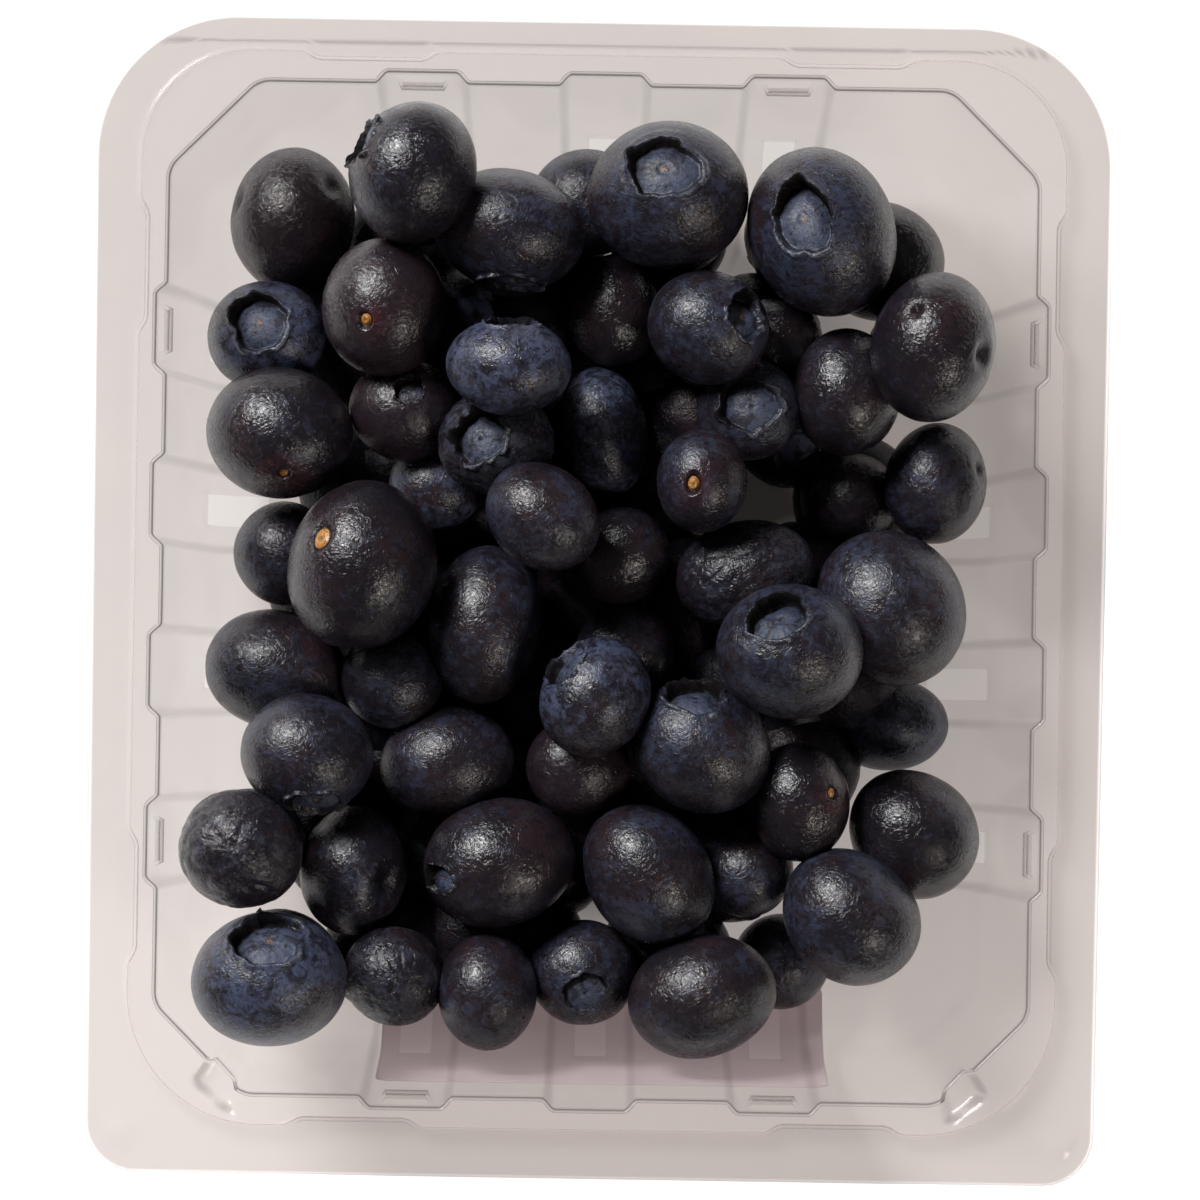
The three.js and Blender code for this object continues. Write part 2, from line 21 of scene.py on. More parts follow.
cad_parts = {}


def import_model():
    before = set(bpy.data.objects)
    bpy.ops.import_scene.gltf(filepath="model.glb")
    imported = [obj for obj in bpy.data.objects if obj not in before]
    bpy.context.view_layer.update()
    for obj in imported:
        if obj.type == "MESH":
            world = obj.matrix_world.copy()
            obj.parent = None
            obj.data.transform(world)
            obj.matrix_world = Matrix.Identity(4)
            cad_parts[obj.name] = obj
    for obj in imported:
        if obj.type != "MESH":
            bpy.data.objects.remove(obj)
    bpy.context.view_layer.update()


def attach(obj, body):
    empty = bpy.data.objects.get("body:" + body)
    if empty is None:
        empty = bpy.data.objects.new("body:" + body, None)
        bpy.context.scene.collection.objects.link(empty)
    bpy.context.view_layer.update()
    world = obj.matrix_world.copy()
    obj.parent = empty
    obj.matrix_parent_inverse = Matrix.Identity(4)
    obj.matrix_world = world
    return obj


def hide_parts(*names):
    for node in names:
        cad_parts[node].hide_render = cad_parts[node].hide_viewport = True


LOG = logging.getLogger("punnet")
MM = 0.001
Array = np.ndarray
Pair = tuple[float, float]
Triple = tuple[float, float, float]
Places = tuple[float, ...]
Colour = Triple
Waves = tuple[int, float, float]
Distance = Callable[[Array], Array]


# ---- arrays


def smooth_step(low: float, high: float, value: Array) -> Array:
    """The curve 3t² - 2t³, where t runs from 0 at low to 1 at high and stays within them.

    Args:
        low: where the step starts; it may lie above high, and the step then falls.
        high: where it ends.
        value: what is stepped.

    Returns:
        Numbers from 0 to 1.
    """
    t = np.clip((value - low) / (high - low), 0.0, 1.0)
    return t * t * (3.0 - 2.0 * t)


def plateau(distance: Array, half: float, ramp: float) -> Array:
    """1 where |distance| is under half, with a smooth step to 0 over a ramp centred there."""
    return smooth_step(half + ramp / 2.0, half - ramp / 2.0, np.abs(distance))


@dataclass(frozen=True)
class Ripple:
    """A repeatable sum of sine waves: uneven, without edges, about 0, and about 1 at most.

    Attributes:
        seed: of the draw of directions and phases.
        count: number of waves.
        slowest: least number of radians for a unit of length.
        fastest: greatest.
    """

    seed: int
    count: int
    slowest: float
    fastest: float

    def at(self, points: Array) -> Array:
        """The sum of sin(k·p + phase) over the waves, divided by the root of their number.

        Args:
            points: places, the last axis of which is x, y, z.

        Returns:
            One number for each place.
        """
        draw = np.random.default_rng(self.seed)
        ways = draw.normal(size=(self.count, 3))
        ways /= np.linalg.norm(ways, axis=1, keepdims=True)
        ways *= draw.uniform(self.slowest, self.fastest, (self.count, 1))
        phases = draw.uniform(0.0, 2.0 * math.pi, self.count)
        return np.sin(points @ ways.T + phases).sum(axis=-1) / math.sqrt(self.count)


@dataclass
class Shell:
    """A mesh in the making: corners in millimetres, faces, and numbers that ride on the corners.

    Attributes:
        corners: one row of x, y, z for each corner.
        faces: arrays of corner numbers, each array of one number of sides.
        marks: named numbers, one for each corner.
    """

    corners: Array
    faces: list[Array]
    marks: dict[str, Array] = field(default_factory=dict)

    @staticmethod
    def joined(shells: list[Shell]) -> Shell:
        """All shells as one, each with its own corners.

        Args:
            shells: of which each has the marks that the first has.

        Returns:
            The one shell, its faces sorted by their number of sides.
        """
        starts = np.cumsum([0] + [len(shell.corners) for shell in shells[:-1]])
        faces = [face + start for shell, start in zip(shells, starts) for face in shell.faces]
        sides = sorted({face.shape[1] for face in faces})
        names = shells[0].marks
        return Shell(
            np.concatenate([shell.corners for shell in shells]),
            [np.concatenate([face for face in faces if face.shape[1] == n]) for n in sides],
            {name: np.concatenate([shell.marks[name] for shell in shells]) for name in names},
        )

    def make(self, name: str) -> bpy.types.Object:
        """Puts the arrays into a smooth mesh object at the origin, in metres.

        Args:
            name: of the object and of its mesh.

        Returns:
            The object, in the scene.
        """
        mesh = bpy.data.meshes.new(name)
        mesh.vertices.add(len(self.corners))
        mesh.vertices.foreach_set("co", (self.corners * MM).astype(np.float32).ravel())
        loops = np.concatenate([face.ravel() for face in self.faces])
        sides = np.concatenate([np.full(len(face), face.shape[1]) for face in self.faces])
        mesh.loops.add(len(loops))
        mesh.loops.foreach_set("vertex_index", loops.astype(np.int32))
        mesh.polygons.add(len(sides))
        mesh.polygons.foreach_set("loop_start", (np.cumsum(sides) - sides).astype(np.int32))
        for mark, values in self.marks.items():
            attribute = mesh.attributes.new(mark, "FLOAT", "POINT")
            attribute.data.foreach_set("value", values.astype(np.float32))
        mesh.update(calc_edges=True)
        mesh.shade_smooth()
        piece = bpy.data.objects.new(name, mesh)
        bpy.context.scene.collection.objects.link(piece)
        return piece


def ring_faces(rows: int, around: int, first: int = 0) -> Array:
    """Quads between neighbouring rings of corners, each ring closed on itself.

    Args:
        rows: number of rings.
        around: corners in a ring.
        first: number of the first ring's first corner.

    Returns:
        Rows of four corner numbers: down a ring, along it and up again.
    """
    row, column = np.meshgrid(np.arange(rows - 1), np.arange(around), indexing="ij")
    here = first + row * around + column
    there = first + row * around + (column + 1) % around
    return np.stack([here, here + around, there + around, there], axis=-1).reshape(-1, 4)


def cap_faces(pole: int, ring: int, around: int, opening: bool) -> Array:
    """Triangles between a pole and the ring next to it.

    Args:
        pole: corner number of the pole.
        ring: number of the ring's first corner.
        around: corners in the ring.
        opening: True for the pole where the rings start, and False where they end.

    Returns:
        Rows of three corner numbers.
    """
    here = ring + np.arange(around)
    there = ring + (np.arange(around) + 1) % around
    tip = np.full(around, pole)
    return np.stack([tip, here, there] if opening else [tip, there, here], axis=-1)


def thickened(piece: bpy.types.Object, name: str, thickness: float) -> bpy.types.Object:
    """Gives an open sheet its thickness with Solidify, away from where its face looks.

    Args:
        piece: the sheet.
        name: of the modifier.
        thickness: in millimetres.

    Returns:
        The sheet.
    """
    solidify = piece.modifiers.new(name, "SOLIDIFY")
    solidify.thickness = thickness * MM
    solidify.offset = -1.0
    return piece


# ---- shading


class Link:
    """A number or a colour in a node tree. Sums and products of links add Math nodes."""

    def __init__(self, bench: Bench, socket: bpy.types.NodeSocket) -> None:
        """Keeps the tree's bench and the output socket."""
        self.bench = bench
        self.socket = socket

    def _math(self, operation: str, *values: Link | float) -> Link:
        """A Math node on the values."""
        return self.bench.node("Math", {"operation": operation}, dict(enumerate(values)))

    def __add__(self, other: Link | float) -> Link:
        """This plus the other."""
        return self._math("ADD", self, other)

    __radd__ = __add__

    def __sub__(self, other: Link | float) -> Link:
        """This less the other."""
        return self._math("SUBTRACT", self, other)

    def __rsub__(self, other: float) -> Link:
        """The other less this."""
        return self._math("SUBTRACT", other, self)

    def __mul__(self, other: Link | float) -> Link:
        """This times the other."""
        return self._math("MULTIPLY", self, other)

    __rmul__ = __mul__

    def __pow__(self, other: float) -> Link:
        """This to a power."""
        return self._math("POWER", self, other)

    def size(self) -> Link:
        """This without its sign."""
        return self._math("ABSOLUTE", self)

    def at_most(self, other: Link | float) -> Link:
        """The lesser of the two."""
        return self._math("MINIMUM", self, other)

    def at_least(self, other: Link | float) -> Link:
        """The greater of the two."""
        return self._math("MAXIMUM", self, other)

    def stepped(self, low: float, high: float) -> Link:
        """The smooth step of this number from low to high."""
        sockets = {"Value": self, "From Min": low, "From Max": high}
        return self.bench.node("MapRange", {"interpolation_type": "SMOOTHSTEP"}, sockets)


@dataclass(frozen=True)
class Pattern:
    """Blotches of noise, stepped into a mask that runs from 0 to its share.

    Attributes:
        size: of a blotch, in millimetres.
        detail: how many finer layers of noise are added.
        twist: how far the noise is warped by itself.
        low: noise under this gives 0.
        high: noise over this gives the share.
        share: the most that the mask gives.
    """

    size: float
    detail: float
    twist: float
    low: float
    high: float
    share: float = 1.0


class Bench:
    """One material's node tree, and the one method that adds a node to it."""

    def __init__(self, name: str) -> None:
        """Starts a material with an empty tree.

        Args:
            name: of the material.
        """
        self.material = bpy.data.materials.new(name)
        self.material.use_nodes = True
        self.tree = self.material.node_tree
        self.tree.nodes.clear()

    def node(
        self,
        kind: str,
        settings: dict[str, object] | None = None,
        sockets: dict[str | int, object] | None = None,
        output: str | int = 0,
    ) -> Link:
        """Adds a node, sets its settings, then fills its sockets.

        Args:
            kind: the node's type without its ShaderNode prefix.
            settings: the node's own settings, by name.
            sockets: values or links of its input sockets, by name or number.
            output: the output socket that is wanted.

        Returns:
            The link to that output.
        """
        node = self.tree.nodes.new("ShaderNode" + kind)
        for name, value in (settings or {}).items():
            setattr(node, name, value)
        for name, value in (sockets or {}).items():
            if isinstance(value, Link):
                self.tree.links.new(value.socket, node.inputs[name])
            else:
                node.inputs[name].default_value = value
        return Link(self, node.outputs[output])

    @cached_property
    def place(self) -> Link:
        """Coordinates of the point in the part's own axes."""
        return self.node("TexCoord", output="Object")

    def noise(self, size: float, detail: float = 2.0, twist: float = 0.0) -> Link:
        """Noise from 0 to 1 about a half, with blotches of a size in millimetres."""
        sockets = {"Vector": self.place, "Scale": 1.0 / (size * MM), "Detail": detail}
        return self.node("TexNoise", None, sockets | {"Distortion": twist})

    def mask(self, pattern: Pattern) -> Link:
        """The pattern's noise, stepped into its mask."""
        noise = self.noise(pattern.size, pattern.detail, pattern.twist)
        return noise.stepped(pattern.low, pattern.high) * pattern.share

    def mark(self, name: str) -> Link:
        """The number of that name on the mesh."""
        return self.node("Attribute", {"attribute_name": name}, output="Fac")

    def blend(self, share: Link | float, first: Link | Colour, second: Link | Colour) -> Link:
        """Mixes two colours.

        Args:
            share: of the second colour, from 0 to 1.
            first: the colour at 0.
            second: the colour at 1.

        Returns:
            The link to the mixed colour.
        """
        filled = [c if isinstance(c, Link) else (*c, 1.0) for c in (first, second)]
        sockets = {"Factor": share, 6: filled[0], 7: filled[1]}
        return self.node("Mix", {"data_type": "RGBA"}, sockets, output=2)

    def bump(self, height: Link, depth: float) -> Link:
        """A Bump node on a height from 0 to 1, with its depth in millimetres."""
        sockets = {"Height": height, "Distance": depth * MM, "Strength": 1.0}
        return self.node("Bump", None, sockets, "Normal")

    def mix(self, share: Link | float, first: Link, second: Link) -> Link:
        """The first shader going over into the second as the share goes from 0 to 1."""
        return self.node("MixShader", None, {0: share, 1: first, 2: second})

    def plain(self, kind: str, colour: Colour) -> Link:
        """A shader of one even colour: Diffuse, Transparent or Translucent."""
        return self.node("Bsdf" + kind, None, {"Color": (*colour, 1.0)})

    def finish(self, surface: Link) -> bpy.types.Material:
        """Ends the tree in the surface.

        Args:
            surface: the link to the last shader.

        Returns:
            The material.
        """
        output = self.tree.nodes.new("ShaderNodeOutputMaterial")
        self.tree.links.new(surface.socket, output.inputs["Surface"])
        return self.material


@dataclass(frozen=True)
class ClearPlastic:
    """Clear thin sheet: it lets what lies behind show through, with a warm grey haze.

    Attributes:
        through: share of the light that passes each face.
        haze: share of the surface that scatters light instead.
        even_haze: share of the haze that is there all over.
        smear: the blotches in which the rest of it lies.
        rim_haze: how much more of it there is on the rim and the flange.
        haze_colour: of that scattering.
        painted_crease_shade_colour: painted shade, thin dark lines where the sheet turns sharply.
        painted_crease_shade_share: how much of the view such a painted line takes.
        gloss: roughness of the reflections.
        straight: share of the light that is reflected where the sheet is seen square on.
        grazing: how much more is reflected where it is seen edge on.
        steepness: how late that rise comes.
        facing_blend: of the Layer Weight node that measures that.
        ripple_size: width of the sheet's faint waves, in millimetres.
        ripple_deep: depth of the waves, in millimetres.
    """

    through: Colour = (0.958, 0.949, 0.945)
    haze: float = 0.024
    even_haze: float = 0.7
    smear: Pattern = Pattern(9.0, 3.0, 0.0, 0.45, 0.75, 0.6)
    rim_haze: float = 0.12
    haze_colour: Colour = (0.60, 0.54, 0.522)
    painted_crease_shade_colour: Colour = (0.10, 0.085, 0.08)
    painted_crease_shade_share: float = 0.8
    gloss: float = 0.11
    straight: float = 0.012
    grazing: float = 0.16
    steepness: float = 5.0
    facing_blend: float = 0.5
    ripple_size: float = 14.0
    ripple_deep: float = 0.05

    def material(self) -> bpy.types.Material:
        """Builds the material.

        Clear, haze and the painted shade of the crease lines lie under a gloss whose share
        is straight + grazing · facing ^ steepness.

        Returns:
            The material.
        """
        bench = Bench("clear_plastic")
        clear = bench.plain("Transparent", self.through)
        haze = bench.plain("Diffuse", self.haze_colour)
        # painted shade: the dark colour of the lines along the sheet's bends
        line = bench.plain("Diffuse", self.painted_crease_shade_colour)
        veil = (bench.mask(self.smear) + self.even_haze) * self.haze
        body = bench.mix(veil + bench.mark("rim") * self.rim_haze, clear, haze)
        # painted shade: the dark lines are mixed in where the mesh's crease mark is
        body = bench.mix((bench.mark("crease") * self.painted_crease_shade_share).at_most(1.0), body, line)
        ripple = bench.bump(bench.noise(self.ripple_size, 1.0), self.ripple_deep)
        shine = bench.node("BsdfGlossy", None, {"Roughness": self.gloss, "Normal": ripple})
        facing = bench.node("LayerWeight", None, {"Blend": self.facing_blend}, "Facing")
        reflected = facing**self.steepness * self.grazing + self.straight
        return bench.finish(bench.mix(reflected, body, shine))


@dataclass(frozen=True)
class LabelPaper:
    """Plain uncoated paper, a little mottled, with a paler cut edge.

    Attributes:
        colour: of the sheet.
        dark: of its mottling.
        mottle: the blotches of that.
        edge: of the cut edge.
        roughness: of the sheet.
        fibre: width of the fibres in millimetres, their finer layers and their bend.
        fibre_deep: their depth, in millimetres.
        glow: of the light that comes through the paper.
        thinness: share of the light that does.
    """

    colour: Colour = (0.515, 0.465, 0.48)
    dark: Colour = (0.39, 0.335, 0.358)
    mottle: Pattern = Pattern(6.0, 4.0, 0.0, 0.3, 0.75, 0.55)
    edge: Colour = (0.55, 0.50, 0.50)
    roughness: float = 0.82
    fibre: Triple = (0.35, 3.0, 1.2)
    fibre_deep: float = 0.02
    glow: Colour = (0.93, 0.85, 0.875)
    thinness: float = 0.62

    def material(self) -> bpy.types.Material:
        """Builds the material.

        Returns:
            The material.
        """
        bench = Bench("label_paper")
        sheet = bench.blend(bench.mask(self.mottle), self.colour, self.dark)
        sockets = {
            "Base Color": bench.blend(bench.mark("edge"), sheet, self.edge),
            "Roughness": self.roughness,
            "Normal": bench.bump(bench.noise(*self.fibre), self.fibre_deep),
        }
        paper = bench.node("BsdfPrincipled", None, sockets)
        return bench.finish(bench.mix(self.thinness, paper, bench.plain("Translucent", self.glow)))


@dataclass(frozen=True)
class BerrySkin:
    """Thin dark skin under a waxy bloom that is rubbed off in places.

    What all kinds have in common stands below the fields, as constants: the marks' colours,
    the noises, the patterns, and how far coarse and fine blotches move the bloom's edge.

    Attributes:
        name: of the material.
        skin: colour of the bare skin.
        bloom: colour of the bloom.
        bare_gloss: roughness of bare skin.
        bloom_gloss: roughness under bloom.
        crackle: depth of the fine wrinkles, in millimetres.
        shine: strength of the reflections.
    """

    name: str
    skin: Colour
    bloom: Colour
    bare_gloss: float = 0.26
    bloom_gloss: float = 0.36
    crackle: float = 0.15
    shine: float = 0.41

    BROWN = (0.019, 0.011, 0.013)
    FLESH = (0.26, 0.10, 0.018)
    FLESH_PALE = (0.46, 0.25, 0.08)
    FLUSH = (0.09, 0.013, 0.014)
    # near black where the rim mark is: dry scar and style tissue, and painted shade
    DRY_AND_PAINTED_SHADE = (0.005, 0.004, 0.004)
    # pale crest colour, laid mostly on the crest's lit side: partly a painted highlight
    PALE_CREST_AND_PAINTED_HIGHLIGHT = (0.095, 0.10, 0.13)
    # the crown disc's blue grey, laid stronger on its lit side: partly painted light
    DISC_AND_PAINTED_LIGHT = (0.044, 0.055, 0.092)
    PIT = (0.005, 0.005, 0.007)
    BROWNED = Pattern(8.0, 2.0, 0.0, 0.4, 0.7)
    WORN = Pattern(0.95, 5.0, 0.5, 0.46, 0.66, 0.7)
    SMUDGE = Pattern(2.2, 3.0, 1.0, 0.51, 0.64, 0.8)
    SPECK = Pattern(0.7, 4.0, 0.3, 0.585, 0.68, 0.85)
    CLOUD = (4.0, 4.0, 0.6)
    BLOTCH = (1.25, 4.0, 0.8)
    GRAIN = (0.3, 2.0)
    WRINKLE = (0.9, 4.0, 2.0)
    WRINKLE_BY = (0.85, 0.15)
    COVER_BY = (1.8, 2.0)
    COVER_STEP = (0.18, 0.92)
    FLUSH_EVEN = 0.55
    DISC_EVEN = 0.62
    DISC_BY = (0.6, 0.9, 0.2)
    EDGE_STEP = (0.35, 0.65)
    FLESH_STEP = (0.4, 0.7)
    DISC_DULLER = 0.22
    # share of that near black: dry tissue, and painted shade in crown hollows and dents
    DRY_AND_PAINTED_SHADE_SHARE = 0.95

    def material(self) -> bpy.types.Material:
        """Builds the material.

        The colours are laid over each other in turn, each where its mask is. The bloom's mask
        is a step of the mesh's own bloom number plus two sizes of blotches, less what is worn.

        Returns:
            The material.
        """
        bench = Bench(self.name)
        cloud = bench.noise(*self.CLOUD) - 0.5
        blotch = bench.noise(*self.BLOTCH) - 0.5
        grain = bench.noise(*self.GRAIN)
        cover = bench.mark("bloom") + cloud * self.COVER_BY[0] + blotch * self.COVER_BY[1]
        cover = cover.stepped(*self.COVER_STEP) * (1.0 - bench.mask(self.WORN))
        flush = bench.mark("flush") * (self.FLUSH_EVEN + blotch)
        coarse, middling, fine = self.DISC_BY
        disc = self.DISC_EVEN + blotch * middling + cloud * coarse + grain * fine
        disc = bench.mark("disc") * disc
        flesh = bench.blend(grain.stepped(*self.FLESH_STEP), self.FLESH, self.FLESH_PALE)
        layers = (
            (bench.mask(self.BROWNED), self.BROWN),
            (cover, self.bloom),
            (flush.at_least(0.0), self.FLUSH),
            # the disc's own colour, laid stronger on the lit side: partly painted light
            (disc.at_least(0.0).at_most(1.0), self.DISC_AND_PAINTED_LIGHT),
            (bench.mask(self.SMUDGE), self.skin),
            (bench.mask(self.SPECK), self.PIT),
            # painted highlight: the pale crest, mostly on its lit side
            (bench.mark("edge") * grain.stepped(*self.EDGE_STEP), self.PALE_CREST_AND_PAINTED_HIGHLIGHT),
            (bench.mark("flesh"), flesh),
        )
        colour = self.skin
        for share, layer in layers:
            colour = bench.blend(share, colour, layer)
        gloss = cover * (self.bloom_gloss - self.bare_gloss) + self.bare_gloss
        broad, narrow = self.WRINKLE_BY
        wrinkle = bench.noise(*self.WRINKLE) * broad + grain * narrow
        sockets = {
            "Base Color": colour,
            "Roughness": gloss + bench.mark("disc") * self.DISC_DULLER,
            "Specular IOR Level": self.shine,
            "Normal": bench.bump(wrinkle, self.crackle),
        }
        skin = bench.node("BsdfPrincipled", None, sockets)
        # painted shade and dry tissue: near-black diffuse where the rim mark is
        dry = bench.plain("Diffuse", self.DRY_AND_PAINTED_SHADE)
        return bench.finish(bench.mix(bench.mark("rim") * self.DRY_AND_PAINTED_SHADE_SHARE, skin, dry))


@dataclass(frozen=True)
class PaleFloor:
    """The plain pale surface the punnet stands on: it glows from below but for a painted shadow.

    Attributes:
        colour: where the floor is open.
        painted_shadow_colour: painted shadow, the floor's colour under the punnet.
        glow: light from below, where the floor is open.
        painted_shadow_back_glow: painted shadow, light from below under the punnet's back edge.
        painted_shadow_front_glow: painted shadow, light from below under its front edge.
        strength: of that light.
        half: half width and half length of the painted shadow, in millimetres.
        taper: how much wider each half grows for a step towards the back.
        rounds: radius of its back corners and of its front corners.
        soft: width of its soft edge.
        heap: half width and half length of the darker painted shadow under the heap.
        heap_painted_shadow_core: share of those, squared, up to which it is darkest.
        heap_painted_shadow_glow: painted shadow, the light from below there.
    """

    colour: Colour = (0.90, 0.90, 0.90)
    painted_shadow_colour: Colour = (0.45, 0.425, 0.412)
    glow: Colour = (1.0, 1.0, 1.0)
    painted_shadow_back_glow: Colour = (0.23, 0.215, 0.209)
    painted_shadow_front_glow: Colour = (0.54, 0.505, 0.491)
    strength: float = 0.78
    half: Pair = (67.65, 77.4)
    taper: float = 0.0065
    rounds: Pair = (19.1, 6.8)
    soft: float = 0.5
    heap: Pair = (40.0, 49.0)
    heap_painted_shadow_core: float = 0.45
    heap_painted_shadow_glow: Colour = (0.02, 0.018, 0.017)

    def material(self) -> bpy.types.Material:
        """Builds the material.

        The distance to the painted shadow's outline is |max(q, 0)| - radius, with q = |p| -
        half sizes + radius, and the painted shadow fades in over its soft edge. It is lighter
        under the front than under the back, and under the heap it darkens with
        (x / half width)² + (y / half length)².

        Returns:
            The material.
        """
        bench = Bench("pale_floor")
        axes = {0: bench.place}
        x = bench.node("SeparateXYZ", None, axes, "X") * (1.0 / MM)
        y = bench.node("SeparateXYZ", None, axes, "Y") * (1.0 / MM)
        back, front = self.rounds
        radius = y.stepped(-1.0, 1.0) * (back - front) + front
        across = (x.size() - y * self.taper - self.half[0] + radius).at_least(0.0)
        along = (y.size() - self.half[1] + radius).at_least(0.0)
        away = (across**2.0 + along**2.0) ** 0.5 - radius
        open_ = away.stepped(-self.soft, 0.0)
        # painted shadow: its light from below runs from the front value to the back value
        behind = y.stepped(-self.half[1], self.half[1])
        shade = bench.blend(behind, self.painted_shadow_front_glow, self.painted_shadow_back_glow)
        # painted shadow: darker still under the heap
        middle = (x * (1.0 / self.heap[0])) ** 2.0 + (y * (1.0 / self.heap[1])) ** 2.0
        shade = bench.blend(middle.stepped(self.heap_painted_shadow_core, 1.0), self.heap_painted_shadow_glow, shade)
        sockets = {
            # painted shadow: the floor's colour is darker under the punnet
            "Base Color": bench.blend(open_, self.painted_shadow_colour, self.colour),
            "Roughness": 0.9,
            "Specular IOR Level": 0.1,
            "Emission Color": bench.blend(open_, shade, self.glow),
            "Emission Strength": self.strength,
        }
        return bench.finish(bench.node("BsdfPrincipled", None, sockets))


# ---- the tray


@dataclass(frozen=True)
class Wall:
    """One wall of the tray, seen from above.

    Attributes:
        out: unit direction out of the tray.
        along: unit direction along the wall, a quarter turn on from out.
        half: distance from the middle to the wall at the mouth.
        half_other: the same for the walls next to it.
        ribs: places of its ribs along the wall.
        catches: places of the pinches in the rim.
    """

    out: tuple[int, int]
    along: tuple[int, int]
    half: float
    half_other: float
    ribs: Places
    catches: Places

    @property
    def front_corner(self) -> bool:
        """True if the corner at the wall's far end is one of the two front corners."""
        return self.out[1] + self.along[1] < 0


@dataclass(frozen=True)
class Row:
    """One row of the tray's grid, from station to station round the mouth.

    Attributes:
        spot: x and y of each station.
        z: height of each, or of all.
        crease: share of a dark line of painted shade at each, where the sheet bends.
    """

    spot: Array
    z: Array | float
    crease: Array | float


@dataclass
class Tray:
    """The clear thermoformed tray: a sheet that runs from the floor up the walls to the flange.

    The sheet's upper face is a grid. Its columns are stations round the mouth, and its rows
    are steps out from the middle of the floor. Solidify then gives it its thickness.

    Fields that end in half are half a length, in ramp or round the length of an edge or a
    radius, in deep, high or proud what a relief stands in or out, and in line the share of a
    dark line of painted shade where the sheet bends. A width is a half and its ramp. Fields
    that hold steps or shares place the rows of the grid.
    """

    height: float = 45.0
    sheet: float = 0.5
    half_width: float = 54.4
    half_length: float = 63.3
    corner_cut: float = 11.0
    corner_round: float = 1.5
    corner_most: float = 0.45
    draft: float = math.radians(8.0)
    foot: float = 12.0
    rib_proud: float = 1.4
    rib_foot: float = 5.8
    rib_crown: float = 4.4
    rib_ramp_more: float = 0.3
    rib_least: float = 0.02
    rib_clear: float = 1.0
    rib_line: float = 0.6
    side_ribs: Places = (-32.1, -10.7, 10.7, 32.1)
    end_ribs: Places = (-23.0, 0.0, 23.0)
    vent_half: float = 2.05
    vent_low: float = 1.6
    vent_high: float = 12.5
    vent_ramp: float = 0.02
    vent_least: float = 0.4
    lug_half: float = 3.0
    lug_proud: float = 1.3
    lug_ramp: float = 0.5
    lug_heights: Triple = (38.0, 41.0, 42.5)
    lug_line: float = 0.4
    rim_half: Pair = (58.3, 67.6)
    rim_round: Pair = (14.0, 17.0)
    step_down: float = 2.4
    step_lean: float = 0.25
    step_bend: float = 0.3
    mouth_bend: float = 0.6
    mouth_steps: Places = (0.0, 0.15, 0.3, 0.45, 0.62, 0.8, 1.0)
    mouth_lines: Places = (0.2, 0.8, 1.0, 0.7, 0.1, 0.0, 0.0)
    side_catches: Places = (-39.0, 40.0)
    end_catches: Places = (-29.5, 30.5)
    catch_half: float = 7.5
    catch_ramp: float = 2.6
    catch_deep: float = 1.1
    catch_lines: Pair = (0.5, 0.8)
    flange_half: float = 63.65
    flange_taper: float = 0.0065
    flange_back: float = 71.9
    flange_front: float = 73.5
    flange_round: Pair = (18.0, 6.4)
    flange_flat: float = 2.9
    flange_edge: Places = (2.6, 2.4, 2.2, 1.6, 0.9, 0.25, 0.0)
    flange_least: float = 0.03
    flange_line: float = 0.3
    notch_place: float = 0.22
    notch_half: float = 2.2
    notch_inner: float = 0.7
    notch_outer: float = 3.2
    notch_deep: float = 2.0
    notch_ramps: Pair = (0.7, 0.8)
    notch_from: float = 34.0
    notch_full: float = 42.0
    notch_line: float = 1.2
    notch_sides: float = 6.0
    notch_fades: Pair = (0.9, 0.4)
    button_place: Pair = (58.8, -68.5)
    button_round: float = 1.9
    button_high: float = 0.8
    hinge_back: float = 3.3
    hinge_half: float = 55.0
    hinge_deep: float = 0.15
    hinge_line: float = 0.3
    hinge_fade: float = 2.0
    hinge_width: Pair = (0.05, 0.3)
    hinge_line_width: Pair = (0.1, 0.2)
    station_step: float = 1.7
    station_clear: float = 0.6
    station_least: float = 0.12
    relief_step: float = 0.35
    lug_step: float = 0.3
    end_step: float = 0.5
    corner_steps: int = 26
    floor_shares: Places = (0.25, 0.5, 0.75, 0.93)
    bend_heights: Places = (0.0, 0.3, 0.9, 2.6, 3.8, 5.2, 6.8, 8.6, 10.5)
    wall_heights: Places = (
        16.0, 20.0, 24.0, 28.0, 32.0, 35.0, 36.5, 38.0, 39.5, 41.0, 41.8, 42.5, 43.3
    )
    rim_shares: Places = (0.08, 0.18, 0.3, 0.42, 0.54, 0.66, 0.82, 1.0)
    hazy_from: int = 31
    ray_most: float = 40.0
    halvings: int = 30
    hair: float = 0.01

    @cached_property
    def walls(self) -> tuple[Wall, ...]:
        """The right, back, left and front wall, counter-clockwise from above.

        Returns:
            The four walls.
        """

        def flipped(places: Places) -> Places:
            """The same places, for the wall across."""
            return tuple(sorted(-place for place in places))

        wide, long = self.half_width, self.half_length
        ribs, ends = self.side_ribs, self.end_ribs
        return (
            Wall((1, 0), (0, 1), wide, long, ribs, self.side_catches),
            Wall((0, 1), (-1, 0), long, wide, flipped(ends), flipped(self.end_catches)),
            Wall((-1, 0), (0, -1), wide, long, flipped(ribs), flipped(self.side_catches)),
            Wall((0, -1), (1, 0), long, wide, ends, self.end_catches),
        )

    def inset(self, height: Array) -> Array:
        """How far the wall has come in from the mouth at a height.

        Above the foot's bend it is (height of the tray - height) tan(draft), and in the bend
        the quarter circle that meets the floor flat is added.

        Args:
            height: heights over the floor.

        Returns:
            One distance for each height.
        """
        bend = self.foot
        wall = (self.height - np.maximum(height, bend)) * math.tan(self.draft)
        low = np.clip(height, 0.0, bend)
        return wall + bend - np.sqrt(bend**2 - (bend - low) ** 2)

